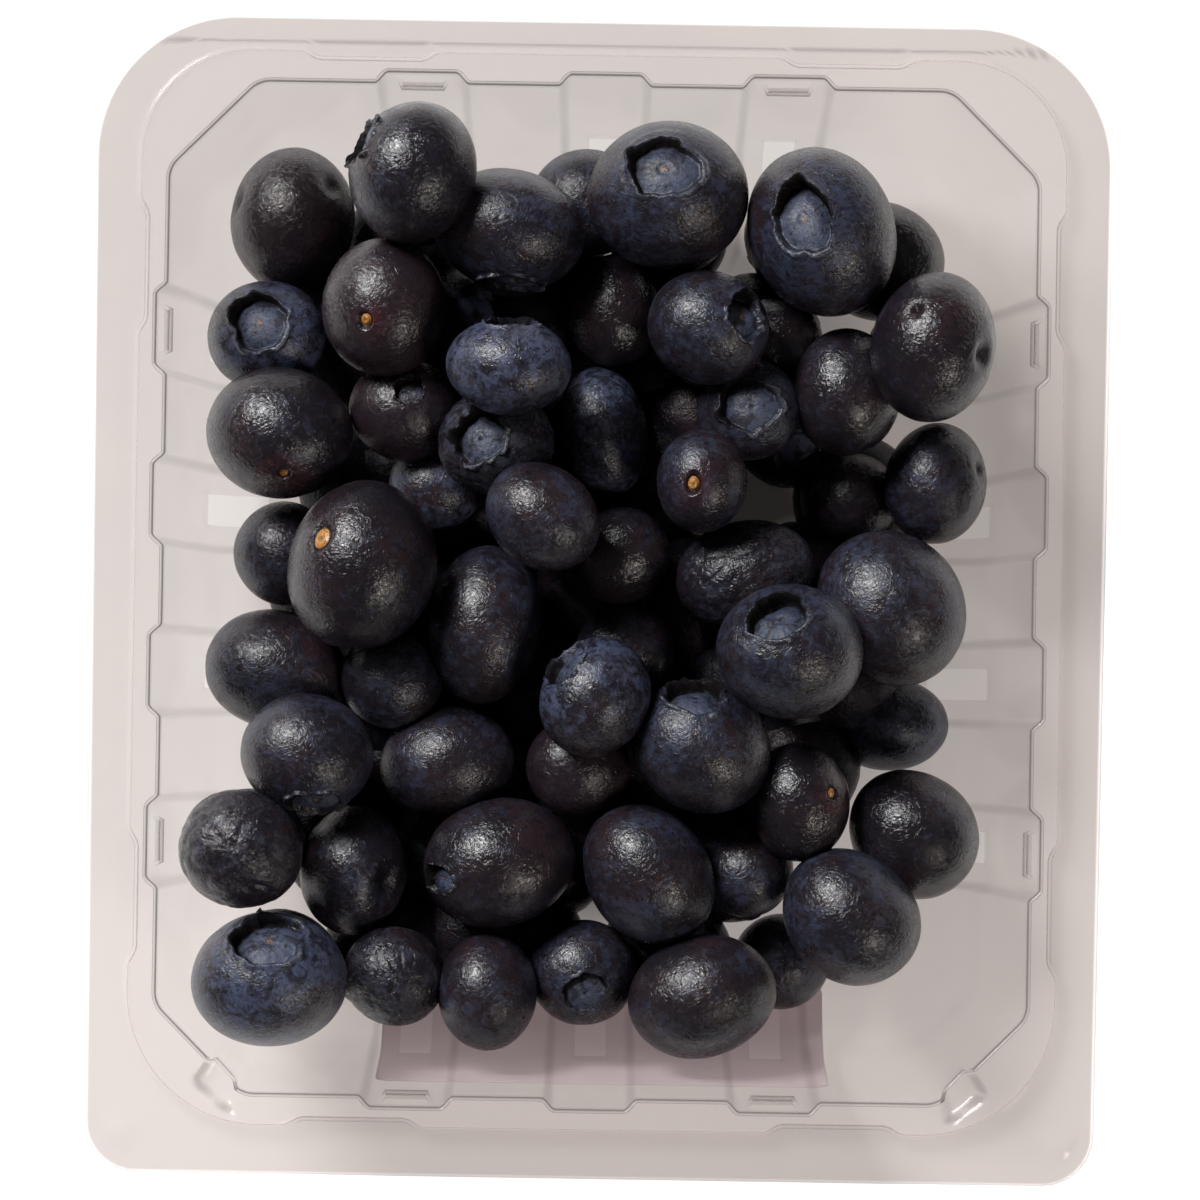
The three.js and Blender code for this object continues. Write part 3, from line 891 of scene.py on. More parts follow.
    def wall_stations(self, wall: Wall) -> Array:
        """Places along a wall: even steps, with closer ones at ribs, lugs, vents and catches.

        Args:
            wall: the wall.

        Returns:
            The places from one end of the wall to the other.
        """
        run = wall.half_other - self.corner_cut
        rib = [self.rib_foot + self.relief_step * step for step in (1, 0, -1, -2)]
        rib += [self.rib_crown + self.relief_step * step for step in (1, 0, -1)]
        rib += [self.lug_half + self.lug_step * step for step in (1, 0, -1)] + [self.vent_half]
        catch = self.catch_half + self.catch_ramp * np.linspace(-0.5, 0.5, 5)
        ends = run - self.end_step * np.array([1, 2, 3])
        fine = [np.concatenate([-ends, ends])]
        for places, edges in ((wall.ribs, rib), (wall.catches, catch)):
            fine.append(np.add.outer(places, np.concatenate([edges, np.negative(edges)])).ravel())
        fine = np.sort(np.concatenate(fine))
        fine = fine[np.abs(fine) < run]
        fine = fine[np.concatenate([[True], np.diff(fine) > self.station_least])]
        even = np.linspace(-run, run, int(2.0 * run / self.station_step))
        far = np.abs(even[:, None] - fine).min(axis=1) > self.station_clear
        return np.sort(np.concatenate([even[far], fine]))

    @cached_property
    def stations(self) -> dict[str, Array]:
        """Every station round the mouth, wall by wall and corner by corner.

        Returns:
            For each station its wall, its place along it, its share of the way round the
            corner that follows the wall, and whether it is in a front corner.
        """
        share = (np.arange(self.corner_steps) + 0.5) / self.corner_steps
        parts = []
        for number, wall in enumerate(self.walls):
            place = self.wall_stations(wall)
            end = np.full(self.corner_steps, wall.half_other - self.corner_cut)
            count = len(place) + self.corner_steps
            part = {"wall": np.full(count, number), "front": np.full(count, wall.front_corner)}
            part["place"] = np.concatenate([place, end])
            part["share"] = np.concatenate([np.zeros(len(place)), share])
            parts.append(part)
        return {name: np.concatenate([part[name] for part in parts]) for name in parts[0]}

    @cached_property
    def flat(self) -> Array:
        """1 at each station."""
        return np.ones(len(self.stations["wall"]))

    @cached_property
    def outs(self) -> Array:
        """Direction out of the tray at each station: it turns evenly round a corner."""
        angle = (self.stations["wall"] + self.stations["share"]) * math.pi / 2.0
        return np.stack([np.cos(angle), np.sin(angle)], axis=-1)

    def near(self, kind: str, half: float, ramp: float, outer: bool = False) -> Array:
        """1 at the stations within half of a rib or catch, falling to 0 over a ramp.

        Args:
            kind: the Wall field with the places, ribs or catches.
            half: half the length of what is there.
            ramp: length of its edge.
            outer: True for only the first and the last place of each wall.

        Returns:
            One number for each station.
        """
        found = np.zeros(len(self.stations["wall"]))
        for number, wall in enumerate(self.walls):
            places = getattr(wall, kind)
            places = (places[0], places[-1]) if outer else places
            here = (self.stations["wall"] == number) & (self.stations["share"] == 0)
            away = np.abs(self.stations["place"][:, None] - np.array(places)).min(axis=1)
            found += here * plateau(away, half, ramp)
        return found

    @cached_property
    def notch(self) -> Array:
        """1 at the stations near the front end of the two front corners' cuts, 0 elsewhere.

        Returns:
            One number for each station, with a smooth step at the notch's two sides.
        """
        length = self.corner_cut * math.sqrt(2.0)
        left = self.stations["wall"] == len(self.walls) - 2
        share = np.where(left, 1.0 - self.stations["share"], self.stations["share"])
        away = (share - self.notch_place) * length
        corner = (self.stations["share"] > 0) & self.stations["front"]
        return corner * plateau(away, self.notch_half, self.notch_ramps[0])

    def ring(self, height: Array, rib_share: Array) -> Array:
        """The inner face of the wall at a height of each station.

        On a wall a station lies out by the wall's half less the inset, and along by its
        place, which is drawn in beyond the ribs as the corner comes in. In a corner it lies
        on the cut between the two walls' ends, whose corners are rounded.

        Args:
            height: over the floor, for each station.
            rib_share: share of the ribs' full relief, for each station.

        Returns:
            x and y of each station.
        """
        inset = self.inset(height)
        cut = self.corner_cut - inset * (2.0 - math.sqrt(2.0))
        points = np.zeros((len(inset), 2))
        for number, wall in enumerate(self.walls):
            here = self.stations["wall"] == number
            out, along = np.array(wall.out, float), np.array(wall.along, float)
            place, share = self.stations["place"][here], self.stations["share"][here]
            reach = wall.half - inset[here]
            run = wall.half_other - inset[here] - cut[here]
            full = wall.half_other - self.corner_cut
            still = max(wall.ribs) + self.rib_foot + self.rib_clear
            drawn = still + (np.abs(place) - still) * (run - still) / (full - still)
            place = np.where(np.abs(place) > still, np.sign(place) * drawn, place)
            length = cut[here] * math.sqrt(2.0)
            on_cut = share > 0
            past = np.where(on_cut, share * length, np.abs(place) - run)
            to_end = np.where(on_cut, (1.0 - share) * length, length)
            round_near = np.minimum(self.corner_round, self.corner_most * length)
            t = np.clip((past + round_near) / (2.0 * round_near), 0.0, 1.0)
            bent = np.abs(past) < round_near
            back = np.where(bent, round_near * (1.0 - t) ** 2, np.maximum(-past, 0.0))
            on = np.where(bent, round_near * t**2, np.maximum(past, 0.0))
            t = np.clip((to_end + round_near) / (2.0 * round_near), 0.0, 1.0)
            bent_end = on_cut & (to_end < round_near)
            side = np.where(place < 0, -1.0, 1.0)
            corner = np.outer(reach, out) + np.outer(run * side, along)
            slant = (np.outer(side, along) - out) / math.sqrt(2.0)
            spot = corner + slant * on[:, None] - np.outer(side * back, along)
            end = np.outer(reach - cut[here], out) + np.outer(run + cut[here], along)
            end = end - slant * (round_near * t**2)[:, None]
            end = end - np.outer(round_near * (1.0 - t) ** 2, out)
            points[here] = np.where(bent_end[:, None], end, spot)
        proud = self.rib_relief * self.rib_proud * rib_share
        return points + self.outs * proud[:, None]

    @cached_property
    def rib_relief(self) -> Array:
        """Share of the ribs' relief at each station: 1 on a crown, with flanks that slant."""
        half = (self.rib_foot + self.rib_crown) / 2.0
        return self.near("ribs", half, self.rib_foot - self.rib_crown + self.rib_ramp_more)

    def reach_to(self, start: Array, distance_to: Distance) -> Array:
        """How far each station's ray runs from its start to an outline, by halving.

        Args:
            start: x and y of each station, inside the outline.
            distance_to: gives the signed distance to the outline, negative inside.

        Returns:
            The length of each ray.
        """
        low = np.zeros(len(start))
        high = np.full(len(start), self.ray_most)
        for _ in range(self.halvings):
            middle = (low + high) / 2.0
            inside = distance_to(start + self.outs * middle[:, None]) < 0
            low, high = np.where(inside, middle, low), np.where(inside, high, middle)
        return low

    @staticmethod
    def slab_distance(
        points: Array, half: float, back: float, front: float, rounds: Pair, taper: float = 0.0
    ) -> Array:
        """Signed distance to a rectangle with rounded corners, one radius behind, one in front.

        With q = |p| - half sizes + radius it is |max(q, 0)| + min(max(qx, qy), 0) - radius.

        Args:
            points: x and y.
            half: half width.
            back: distance of the back edge.
            front: distance of the front edge.
            rounds: radius of the back corners and of the front corners.
            taper: how much wider each half grows for a step towards the back.

        Returns:
            One distance for each point.
        """
        behind = points[:, 1] > 0
        radius = np.where(behind, *rounds)
        size = np.stack([half + taper * points[:, 1], np.where(behind, back, front)], axis=-1)
        q = np.abs(points) - size + radius[:, None]
        outside = np.linalg.norm(np.maximum(q, 0.0), axis=1)
        return outside + np.minimum(q.max(axis=1), 0.0) - radius

    def rim_distance(self, points: Array) -> Array:
        """Signed distance to the foot of the rim's step, drawn in at the catches.

        Args:
            points: x and y of each station.

        Returns:
            One distance for each station.
        """
        half, long = self.rim_half
        plain = self.slab_distance(points, half, long, long, self.rim_round)
        return plain + self.catch_relief * self.catch_deep

    @cached_property
    def catch_relief(self) -> Array:
        """1 at the stations of a catch, 0 elsewhere."""
        return self.near("catches", self.catch_half, self.catch_ramp)

    def flange_distance(self, points: Array) -> Array:
        """Signed distance to the outer edge of the flange."""
        sizes = (self.flange_half, self.flange_back, self.flange_front)
        return self.slab_distance(points, *sizes, self.flange_round, self.flange_taper)

    def relief(self, points: Array) -> Array:
        """Height added to the flange: two low domes in front, and the hinge's crease behind.

        Args:
            points: x and y.

        Returns:
            Heights, positive upwards.
        """
        x, y = points[:, 0], points[:, 1]
        away = np.hypot(np.abs(x) - self.button_place[0], y - self.button_place[1])
        dome = np.sqrt(np.maximum(1.0 - (away / self.button_round) ** 2, 0.0))
        crease = plateau(y - (self.flange_back - self.hinge_back), *self.hinge_width)
        crease *= smooth_step(self.hinge_half, self.hinge_half - self.hinge_fade, np.abs(x))
        return dome * self.button_high - crease * self.hinge_deep

    def wall_row(self, height: float) -> Row:
        """The wall at a height: its ring, with the ribs, lugs and notches of that height.

        The ribs rise to their full relief over the foot's bend. A lug stands into the tray
        from its lowest to its highest height, most at the middle one. A notch draws the wall
        down and in as it nears the mouth. A dark line of painted shade runs down each flank of
        a rib, where relief (1 - relief) is greatest.

        Args:
            height: over the floor.

        Returns:
            The row.
        """
        here = np.array(height)
        share = smooth_step(0.0, self.foot, here) * (1.0 - self.rib_least) + self.rib_least
        sunk = self.notch_deep * smooth_step(self.notch_from, self.height, here)
        low = height - self.notch * sunk
        tall = np.interp(height, self.lug_heights, [0.0, 1.0, 0.0])
        inward = self.lugs * tall * self.lug_proud
        drawn = self.notch_inner * smooth_step(self.notch_from, self.notch_full, here)
        inward = inward + self.notch * drawn
        spot = self.ring(low, self.flat * share) - self.outs * inward[:, None]
        # painted shade: the share of the dark line on the ribs' flanks and along the lugs
        line = self.rib_relief * (1.0 - self.rib_relief) * self.rib_line
        line = line + self.lugs * (height == self.lug_heights[1]) * self.lug_line
        return Row(spot, low * (self.height - self.sheet) / self.height + self.sheet, line)

    @cached_property
    def lugs(self) -> Array:
        """1 at the stations of a lug, 0 elsewhere."""
        return self.near("ribs", self.lug_half, self.lug_ramp, outer=True)

    @cached_property
    def mouth(self) -> Array:
        """x and y of each station where the wall ends in the rim."""
        inward = self.notch * self.notch_inner
        return self.ring(self.flat * self.height, self.flat) - self.outs * inward[:, None]

    def from_mouth(self, out: Array | float) -> Array:
        """x and y of each station, moved out from the mouth."""
        return self.mouth + self.outs * np.broadcast_to(out, len(self.flat))[:, None]

    def inner_rows(self) -> list[Row]:
        """The floor and the walls.

        Returns:
            The rows from the floor's middle up to just under the mouth.
        """
        foot, none = self.ring(self.flat * 0.0, self.flat * self.rib_least), self.flat * 0.0
        rows = [Row(foot * share, self.sheet + none, none) for share in self.floor_shares]
        heights = (*self.bend_heights, self.vent_low, self.vent_high, *self.wall_heights)
        return rows + [self.wall_row(height) for height in sorted(heights)]

    def mouth_rows(self) -> list[Row]:
        """The bend from the leaning wall to the level rim, with its dark line of painted shade.

        The bend is the curve with t² of its radius outwards and (1 - t)² of it down. The
        painted line is fainter in a notch, and faintest on the notch's sides.

        Returns:
            The rows of the bend.
        """
        sides = np.minimum(self.notch_sides * self.notch * (1.0 - self.notch), 1.0)
        side_fade, fade = self.notch_fades
        shown = 1.0 - side_fade * sides - fade * self.notch
        drop = self.notch * self.notch_deep
        rows = []
        for t, line in zip(self.mouth_steps, self.mouth_lines):
            down = self.mouth_bend * (1.0 - t) ** 2
            out = self.mouth_bend * t**2 - down * math.tan(self.draft)
            rows.append(Row(self.from_mouth(out), self.height - drop - down, line * shown))
        return rows

    def rim_rows(self, step: Array) -> list[Row]:
        """The level rim, with the two notches sunk into it.

        A notch is what its share round the mouth and its share across the rim have in
        common, and a dark line of painted shade runs where either share (1 - share) is greatest.

        Args:
            step: distance from the mouth to the rim's step at each station.

        Returns:
            The rows of the rim.
        """
        first, last = self.mouth_bend, step - self.step_bend
        notch, rows = self.notch, []
        for share in self.rim_shares:
            out = first + (last - first) * share
            inner = out - notch * self.notch_inner
            within = plateau(inner, self.notch_outer, self.notch_ramps[1])
            sides = notch * (1.0 - notch) * within + notch * within * (1.0 - within)
            z = self.height - notch * self.notch_deep * within
            rows.append(Row(self.from_mouth(out), z, self.notch_line * sides))
        return rows

    def step_rows(self, step: Array) -> list[Row]:
        """The step down from the rim to the flange: a bend over, a steep fall and a bend out.

        Each bend is the curve with (1 - t)² of its radius along its first way and t² along
        its second.

        Args:
            step: distance from the mouth to the rim's step at each station.

        Returns:
            The rows of the step.
        """
        bend, fall, catch = self.step_bend, self.step_down, self.catch_relief
        out_way, down_way = np.array([self.step_lean, -fall]) / math.hypot(self.step_lean, fall)
        # painted shade: the dark lines at the catches' bends
        high_line, low_line = self.catch_lines
        rows = []
        for t in (0.25, 0.5, 0.75, 1.0):
            out = step - bend * (1.0 - t) ** 2 + out_way * bend * t**2
            z = self.height + down_way * bend * t**2
            rows.append(Row(self.from_mouth(out), self.flat * z, catch * high_line * (t == 0.75)))
        foot = step + self.step_lean
        for t in (0.0, 0.25, 0.5, 0.75, 1.0):
            out = foot - out_way * bend * (1.0 - t) ** 2 + bend * t**2
            z = self.height - fall - down_way * bend * (1.0 - t) ** 2
            rows.append(Row(self.from_mouth(out), self.flat * z, catch * low_line * (t == 0.25)))
        return rows

    def flange_rows(self, step: Array) -> list[Row]:
        """The flange: even shares of its flat part, then steps in from its outer edge.

        Args:
            step: distance from the mouth to the rim's step at each station.

        Returns:
            The rows of the flange.
        """
        edge = self.reach_to(self.mouth, self.flange_distance)
        start = step + self.step_lean + self.step_bend
        inner = edge - self.flange_flat
        outs = [start + (inner - start) * share for share in (0.2, 0.4, 0.6, 0.8, 1.0)]
        outs += [edge - away for away in self.flange_edge]
        last, rows = start, []
        for number, out in enumerate(outs):
            last = np.maximum(out, last + self.flange_least)
            spot = self.from_mouth(last)
            # painted shade: dark lines along the hinge's crease and round the flange's outer edge
            from_hinge = spot[:, 1] - (self.flange_back - self.hinge_back)
            line = plateau(from_hinge, *self.hinge_line_width)
            line = line * self.hinge_line + (number == len(outs) - 1) * self.flange_line
            z = self.height - self.step_down + self.relief(spot)
            rows.append(Row(spot, z, line))
        return rows

    def rows(self) -> list[Row]:
        """Lays out the whole grid.

        Returns:
            Every row, from the floor's middle outwards.
        """
        step = self.reach_to(self.mouth, self.rim_distance)
        rows = self.inner_rows() + self.mouth_rows() + self.rim_rows(step)
        return rows + self.step_rows(step) + self.flange_rows(step)

    def shell(self) -> Shell:
        """The sheet's upper face as one grid, with the vents left open.

        Returns:
            The open face, its normals pointing up and into the tray.
        """
        rows = self.rows()
        around = len(self.flat)
        points = [np.column_stack([row.spot, np.broadcast_to(row.z, around)]) for row in rows]
        creases = [np.clip(np.broadcast_to(row.crease, around), 0.0, 1.0) for row in rows]
        corners = np.concatenate([[[0.0, 0.0, self.sheet]], *points])
        hazy = np.repeat(np.arange(len(rows)) >= self.hazy_from, around) * 1.0
        quads = ring_faces(len(rows), around, first=1).reshape(len(rows) - 1, around, 4)
        vents = self.near("ribs", self.vent_half, self.vent_ramp) > self.vent_least
        open_column = vents & np.roll(vents, -1)
        z = np.array([part[:, 2].mean() for part in points])
        scale = (self.height - self.sheet) / self.height
        low, high = (h * scale + self.sheet for h in (self.vent_low, self.vent_high))
        open_row = (z[:-1] > low - self.hair) & (z[1:] < high + self.hair)
        solid = ~(open_row[:, None] & open_column[None, :])
        faces = [cap_faces(0, 1, around, opening=True), quads[solid]]
        # crease carries the share of the painted shade lines; rim the extra haze of rim and flange
        marks = {"crease": np.concatenate([[0.0], *creases]), "rim": np.append(0.0, hazy)}
        return Shell(corners, faces, marks)

    def build(self, finish: ClearPlastic) -> bpy.types.Object:
        """Makes the tray, gives the sheet its thickness, and stands it in for its node.

        Args:
            finish: the plastic.

        Returns:
            The tray.
        """
        piece = thickened(self.shell().make("clear_tray"), "sheet", self.sheet)
        piece.data.materials.append(finish.material())
        return mounted(piece, "tray")


@dataclass
class Label:
    """The paper label on the outside of the front wall, flat over the crowns of its ribs."""

    tray: Tray
    centre: float = 1.6
    width: float = 58.4
    top: float = 25.0
    lowest_angle: float = 14.0
    highest_angle: float = 84.0
    bend_rows: int = 20
    wall_rows: int = 16
    paper: float = 0.25
    gap: float = 0.32
    corner: float = 1.7
    columns: int = 120
    ragged: float = 0.05
    ragged_waves: Pair = (1.9, 0.43)
    ragged_from: float = 3.0

    def shell(self) -> Shell:
        """The sheet's inner face: a strip carried down the wall and round the bend.

        Its rows are heights. Across a row x runs evenly over the label's half width, which
        within a corner's radius r of either end falls by r - sqrt(r² - (r - distance)²).

        Returns:
            The open face, its normals pointing at the wall.
        """
        tray = self.tray
        angles = np.radians(np.linspace(self.lowest_angle, self.highest_angle, self.bend_rows))
        bend = tray.foot * (1.0 - np.cos(angles))
        heights = np.concatenate([bend, np.linspace(tray.foot, self.top, self.wall_rows)])
        rise = np.arccos(np.clip(1.0 - heights / tray.foot, 0.0, 1.0)) / (math.pi / 2.0)
        reach = tray.half_length + tray.sheet + tray.rib_proud * rise
        out = reach - tray.inset(heights) + self.gap
        path = np.concatenate([[0.0], np.cumsum(np.hypot(np.diff(out), np.diff(heights)))])
        edge = np.minimum(path, path[-1] - path)
        short = self.corner - np.clip(edge, 0.0, self.corner)
        half = self.width / 2.0 - self.corner + np.sqrt(self.corner**2 - short**2)
        across = np.linspace(-1.0, 1.0, self.columns)
        x = np.outer(half, across) + self.centre
        short_wave, long_wave = self.ragged_waves
        ragged = self.ragged * np.sin(x * short_wave) * np.sin(x * long_wave + 1.0)
        share = smooth_step(self.top - self.ragged_from, self.top, heights)
        z = heights[:, None] + ragged * share[:, None]
        y = np.broadcast_to(-out[:, None], x.shape)
        rows, columns = x.shape
        row, column = np.meshgrid(np.arange(rows - 1), np.arange(columns - 1), indexing="ij")
        here = row * columns + column
        quads = np.stack([here, here + columns, here + columns + 1, here + 1], axis=-1)
        rim = np.maximum(np.abs(across)[None, :] == 1.0, (edge == 0.0)[:, None]) * 1.0
        return Shell(
            np.stack([x, y, z], axis=-1).reshape(-1, 3),
            [quads.reshape(-1, 4)],
            {"edge": np.broadcast_to(rim, x.shape).ravel()},
        )

    def build(self, finish: LabelPaper) -> bpy.types.Object:
        """Makes the label and stands it in for its node.

        Args:
            finish: the paper.

        Returns:
            The label.
        """
        piece = thickened(self.shell().make("paper_label"), "paper", self.paper)
        piece.data.materials.append(finish.material())
        return mounted(piece, "label")


# ---- the heap


class Kind(Enum):
    """The kinds of berry in the heap: each is one piece with its own skin."""

    BLOOMED = "berries_bloomed"
    DUSKY = "berries_dusky"
    MATT = "berries_matt"
    GLOSSY = "berries_glossy"
    PURPLE = "berries_purple"
    WRINKLED = "berries_wrinkled"
    # berries under the ones that show: their darker skin is painted shade
    BURIED = "berries_buried_painted_shade"


class Form(Enum):
    """What a mark on a berry is."""

    CROWN = "crown"
    SCAR = "scar"
    DENT = "dent"


@dataclass(frozen=True)
class Mark:
    """A crown, a stem scar or a dent on the side that shows.

    Attributes:
        form: what it is.
        across: how far right of the berry's middle it shows, as a share of its half width.
        up: how far up it shows.
        size: its half width as a share of the berry's.
        deep: its depth as a share of the berry's half width.
        torn: how ragged a crown's edge is, or how red the skin round a scar is.
    """

    form: Form
    across: float
    up: float
    size: float
    deep: float
    torn: float = 0.0


def crown(
    across: float, up: float, size: float = 0.42, deep: float = 0.2, torn: float = 0.5
) -> Mark:
    """The ring of dry lobes round the sunken disc at a berry's blossom end."""
    return Mark(Form.CROWN, across, up, size, deep, torn)


def scar(across: float, up: float, size: float = 0.1, deep: float = 0.06, red: float = 0.9) -> Mark:
    """The round scar where the stem was."""
    return Mark(Form.SCAR, across, up, size, deep, red)


def dent(across: float, up: float, size: float = 0.12, deep: float = 0.07) -> Mark:
    """A small hollow in the skin."""
    return Mark(Form.DENT, across, up, size, deep)


@dataclass
class Berry:
    """One berry: where it shows on the plane of the rim, its widths, and what is on it.

    Attributes:
        seen_x: across, in the eye's own axes until it is turned into the tray's.
        seen_y: up.
        long: longest width.
        short: shortest width.
        turn: of the long axis, in degrees.
        kind: its kind.
        marks: what shows on it.
        x: across, where it lies in the tray.
        y: along.
        z: height of its middle.
        rise: half its height.
        widened: how much wider it is than it shows on the plane of the rim.
    """

    seen_x: float
    seen_y: float
    long: float
    short: float
    turn: float
    kind: Kind = Kind.BURIED
    marks: tuple[Mark, ...] = ()
    x: float = 0.0
    y: float = 0.0
    z: float = 0.0
    rise: float = 0.0
    widened: float = 1.0

    def half_along(self, angle: float) -> float:
        """Half its width from above, along a direction: that of an ellipse.

        Args:
            angle: of the direction, in radians.

        Returns:
            The half width.
        """
        long, short = self.long / 2 * self.widened, self.short / 2 * self.widened
        turn = angle - self.turn
        return long * short / math.hypot(short * math.cos(turn), long * math.sin(turn))


# The berries that show: x, y, longest and shortest width, turn, kind, marks. Deepest first.
B, D, M = Kind.BLOOMED, Kind.DUSKY, Kind.MATT
G, P, W = Kind.GLOSSY, Kind.PURPLE, Kind.WRINKLED
SHOWN_BERRIES = [
    (-20.2, 13.3, 12.0, 11.0, 0, B, ()),
    (-1.2, 48.6, 14.5, 13.5, 0, M, ()),
    (22.2, 30.8, 12.0, 12.0, 0, G, ()),
    (-24.0, 22.7, 14.0, 13.0, 0, P, (crown(0.1, 0.35, 0.28, 0.2, 1.8),)),
    (2.8, 4.6, 12.5, 12.0, 0, G, ()),
    (-25.7, -11.0, 12.5, 12.5, 0, M, ()),
    (-2.4, -22.0, 13.0, 12.5, 0, P, ()),
    (18.8, -35.0, 11.5, 11.5, 0, M, ()),
    (22.8, -47.0, 12.0, 12.0, 0, M, ()),
    (3.4, -7.4, 12.5, 12.0, 0, G, ()),
    (35.4, 41.2, 15.8, 15.0, 0, G, ()),
    (2.0, 35.0, 14.4, 11.8, 90, G, ()),
    (-12.6, 18.6, 14.8, 13.5, 0, W, (crown(-0.33, 0.05, 0.5, 0.26, 1.6),)),
    (19.0, 22.7, 13.0, 12.5, 0, D, (crown(-0.02, 0.05, 0.58, 0.2, 0.8),)),
    (31.0, 24.8, 16.0, 13.5, 90, G, ()),
    (31.6, 11.7, 12.5, 11.5, 0, P, ()),
    (-39.3, 4.8, 13.2, 12.4, 90, M, ()),
    (18.4, 1.8, 17.5, 14.2, 10, W, ()),
    (25.1, -26.2, 15.0, 12.8, 90, G, (scar(0.6, 0.2, 0.1, 0.05, 0.4),)),
    (-25.3, -48.0, 13.0, 12.2, -30, W, ()),
    (-26.6, 35.6, 17.5, 15.5, 90, P, (scar(-0.26, -0.26, 0.1, 0.07),)),
    (-41.6, 32.0, 14.9, 14.0, 0, B, (crown(-0.09, 0.2, 0.52, 0.24),)),
    (-39.1, 47.4, 18.1, 15.6, 85, P, (dent(-0.84, 0.3, 0.2, 0.12), dent(0.62, 0.5, 0.16, 0.1))),
    (-11.0, 45.4, 18.8, 15.3, -8, D, (crown(0.05, -0.9, 0.42, 0.2, 1.4),)),
    (-23.1, 52.8, 17.8, 16.0, 70, G, (crown(-0.8, 0.45, 0.4, 0.2, 1.6),)),
    (8.8, 49.6, 20.0, 18.7, -10, D, (crown(-0.06, 0.29, 0.45, 0.15),)),
    (28.1, 45.0, 21.6, 18.2, -70, D, (crown(-0.31, 0.1, 0.44, 0.24),)),
    (42.0, 30.6, 19.0, 15.4, 80, G, (dent(-0.3, 0.5, 0.1, 0.08), dent(0.7, -0.15, 0.15, 0.15))),
    (13.8, 33.1, 15.3, 14.2, -20, D, (crown(0.69, 0.17, 0.42, 0.3, 0.9),)),
    (0.7, 20.0, 16.5, 11.0, 100, B, ()),
    (-11.1, 28.2, 15.6, 12.2, 0, B, (crown(0.05, 0.84, 0.42, 0.2, 1.4),)),
    (-39.6, 19.8, 18.6, 16.3, -10, G, (scar(0.1, -0.62, 0.07, 0.05, 0.3),)),
    (42.3, 13.6, 15.2, 12.6, 80, D, (dent(0.8, 0.25, 0.16, 0.12),)),
    (13.0, 13.8, 13.4, 11.4, 90, D, (scar(-0.2, -0.1, 0.16, 0.12, 0.5),)),
    (-6.9, 9.4, 14.8, 13.0, -40, M, ()),
    (-14.0, -4.2, 20.0, 14.2, 85, M, ()),
    (-29.3, 3.3, 21.3, 18.8, 75, G, (scar(-0.5, 0.3, 0.15, 0.03, 0.2),)),
    (36.6, -2.0, 20.2, 18.0, -50, M, ()),
    (-41.2, -9.7, 18.0, 14.8, -12, M, ()),
    (-18.7, -21.3, 17.0, 13.9, 10, M, ()),
    (-36.3, -20.3, 17.0, 14.8, -15, D, (crown(0.2, -0.84, 0.42, 0.22, 1.4),)),
    (12.9, -19.4, 18.4, 16.2, -30, D, (crown(-0.12, 0.8, 0.44, 0.2, 1.2),)),
    (24.1, -7.6, 18.4, 16.6, 0, D, (crown(-0.23, 0.53, 0.42, 0.26),)),
    (-0.3, -13.3, 15.3, 13.6, 60, B, (crown(-0.55, 0.62, 0.42, 0.2, 1.2),)),
    (39.1, -16.6, 14.8, 11.6, 0, B, ()),
    (40.0, -30.3, 17.0, 15.2, -45, G, ()),
    (-44.9, -32.1, 15.8, 14.4, -30, W, ()),
    (-30.5, -34.8, 16.0, 13.4, 80, D, (dent(0.64, -0.22, 0.3, 0.2),)),
    (-12.4, -33.8, 19.4, 15.8, 15, G, (crown(-0.84, -0.25, 0.26, 0.12, 1.4),)),
    (6.3, -35.4, 18.6, 15.6, -55, M, ()),
    (31.6, -40.5, 18.4, 16.0, -45, M, ()),
    (-41.4, -48.8, 19.6, 16.8, 0, B, (crown(0.02, 0.62, 0.48, 0.2),)),
    (-1.8, -47.5, 13.6, 13.2, 0, D, (crown(0.04, -0.37, 0.4, 0.12),)),
    (-13.8, -49.9, 14.5, 12.5, 90, M, ()),
    (13.1, -50.5, 19.0, 15.3, 10, M, ()),
]
GAPS = [(15.6, 42.1), (29.7, 33.3), (20.9, 10.8), (31.3, -29.8), (23.4, -40.8)]

SKINS = {
    Kind.BLOOMED: BerrySkin("skin_bloomed", (0.010, 0.009, 0.014), (0.043, 0.052, 0.091)),
    Kind.DUSKY: BerrySkin("skin_dusky", (0.010, 0.008, 0.012), (0.022, 0.026, 0.046)),
    Kind.MATT: BerrySkin("skin_matt", (0.010, 0.008, 0.012), (0.022, 0.026, 0.046)),
    Kind.GLOSSY: BerrySkin("skin_glossy", (0.009, 0.007, 0.010), (0.016, 0.017, 0.030), 0.21, 0.34),
    Kind.PURPLE: BerrySkin("skin_purple", (0.013, 0.008, 0.011), (0.021, 0.016, 0.024)),
    Kind.WRINKLED: BerrySkin(
        "skin_wrinkled", (0.010, 0.008, 0.012), (0.026, 0.028, 0.043), 0.24, 0.36, crackle=0.2
    ),
    # painted shade: a darker, less shiny copy of the skin for buried berries and the core
    Kind.BURIED: BerrySkin("skin_buried_painted_shade", (0.005, 0.004, 0.006), (0.012, 0.013, 0.020), shine=0.12),
}
BLOOM_OF = {B: 0.62, D: 0.44, M: 0.44, G: 0.22, P: 0.25, W: 0.35, Kind.BURIED: 0.40}
del B, D, M, G, P, W


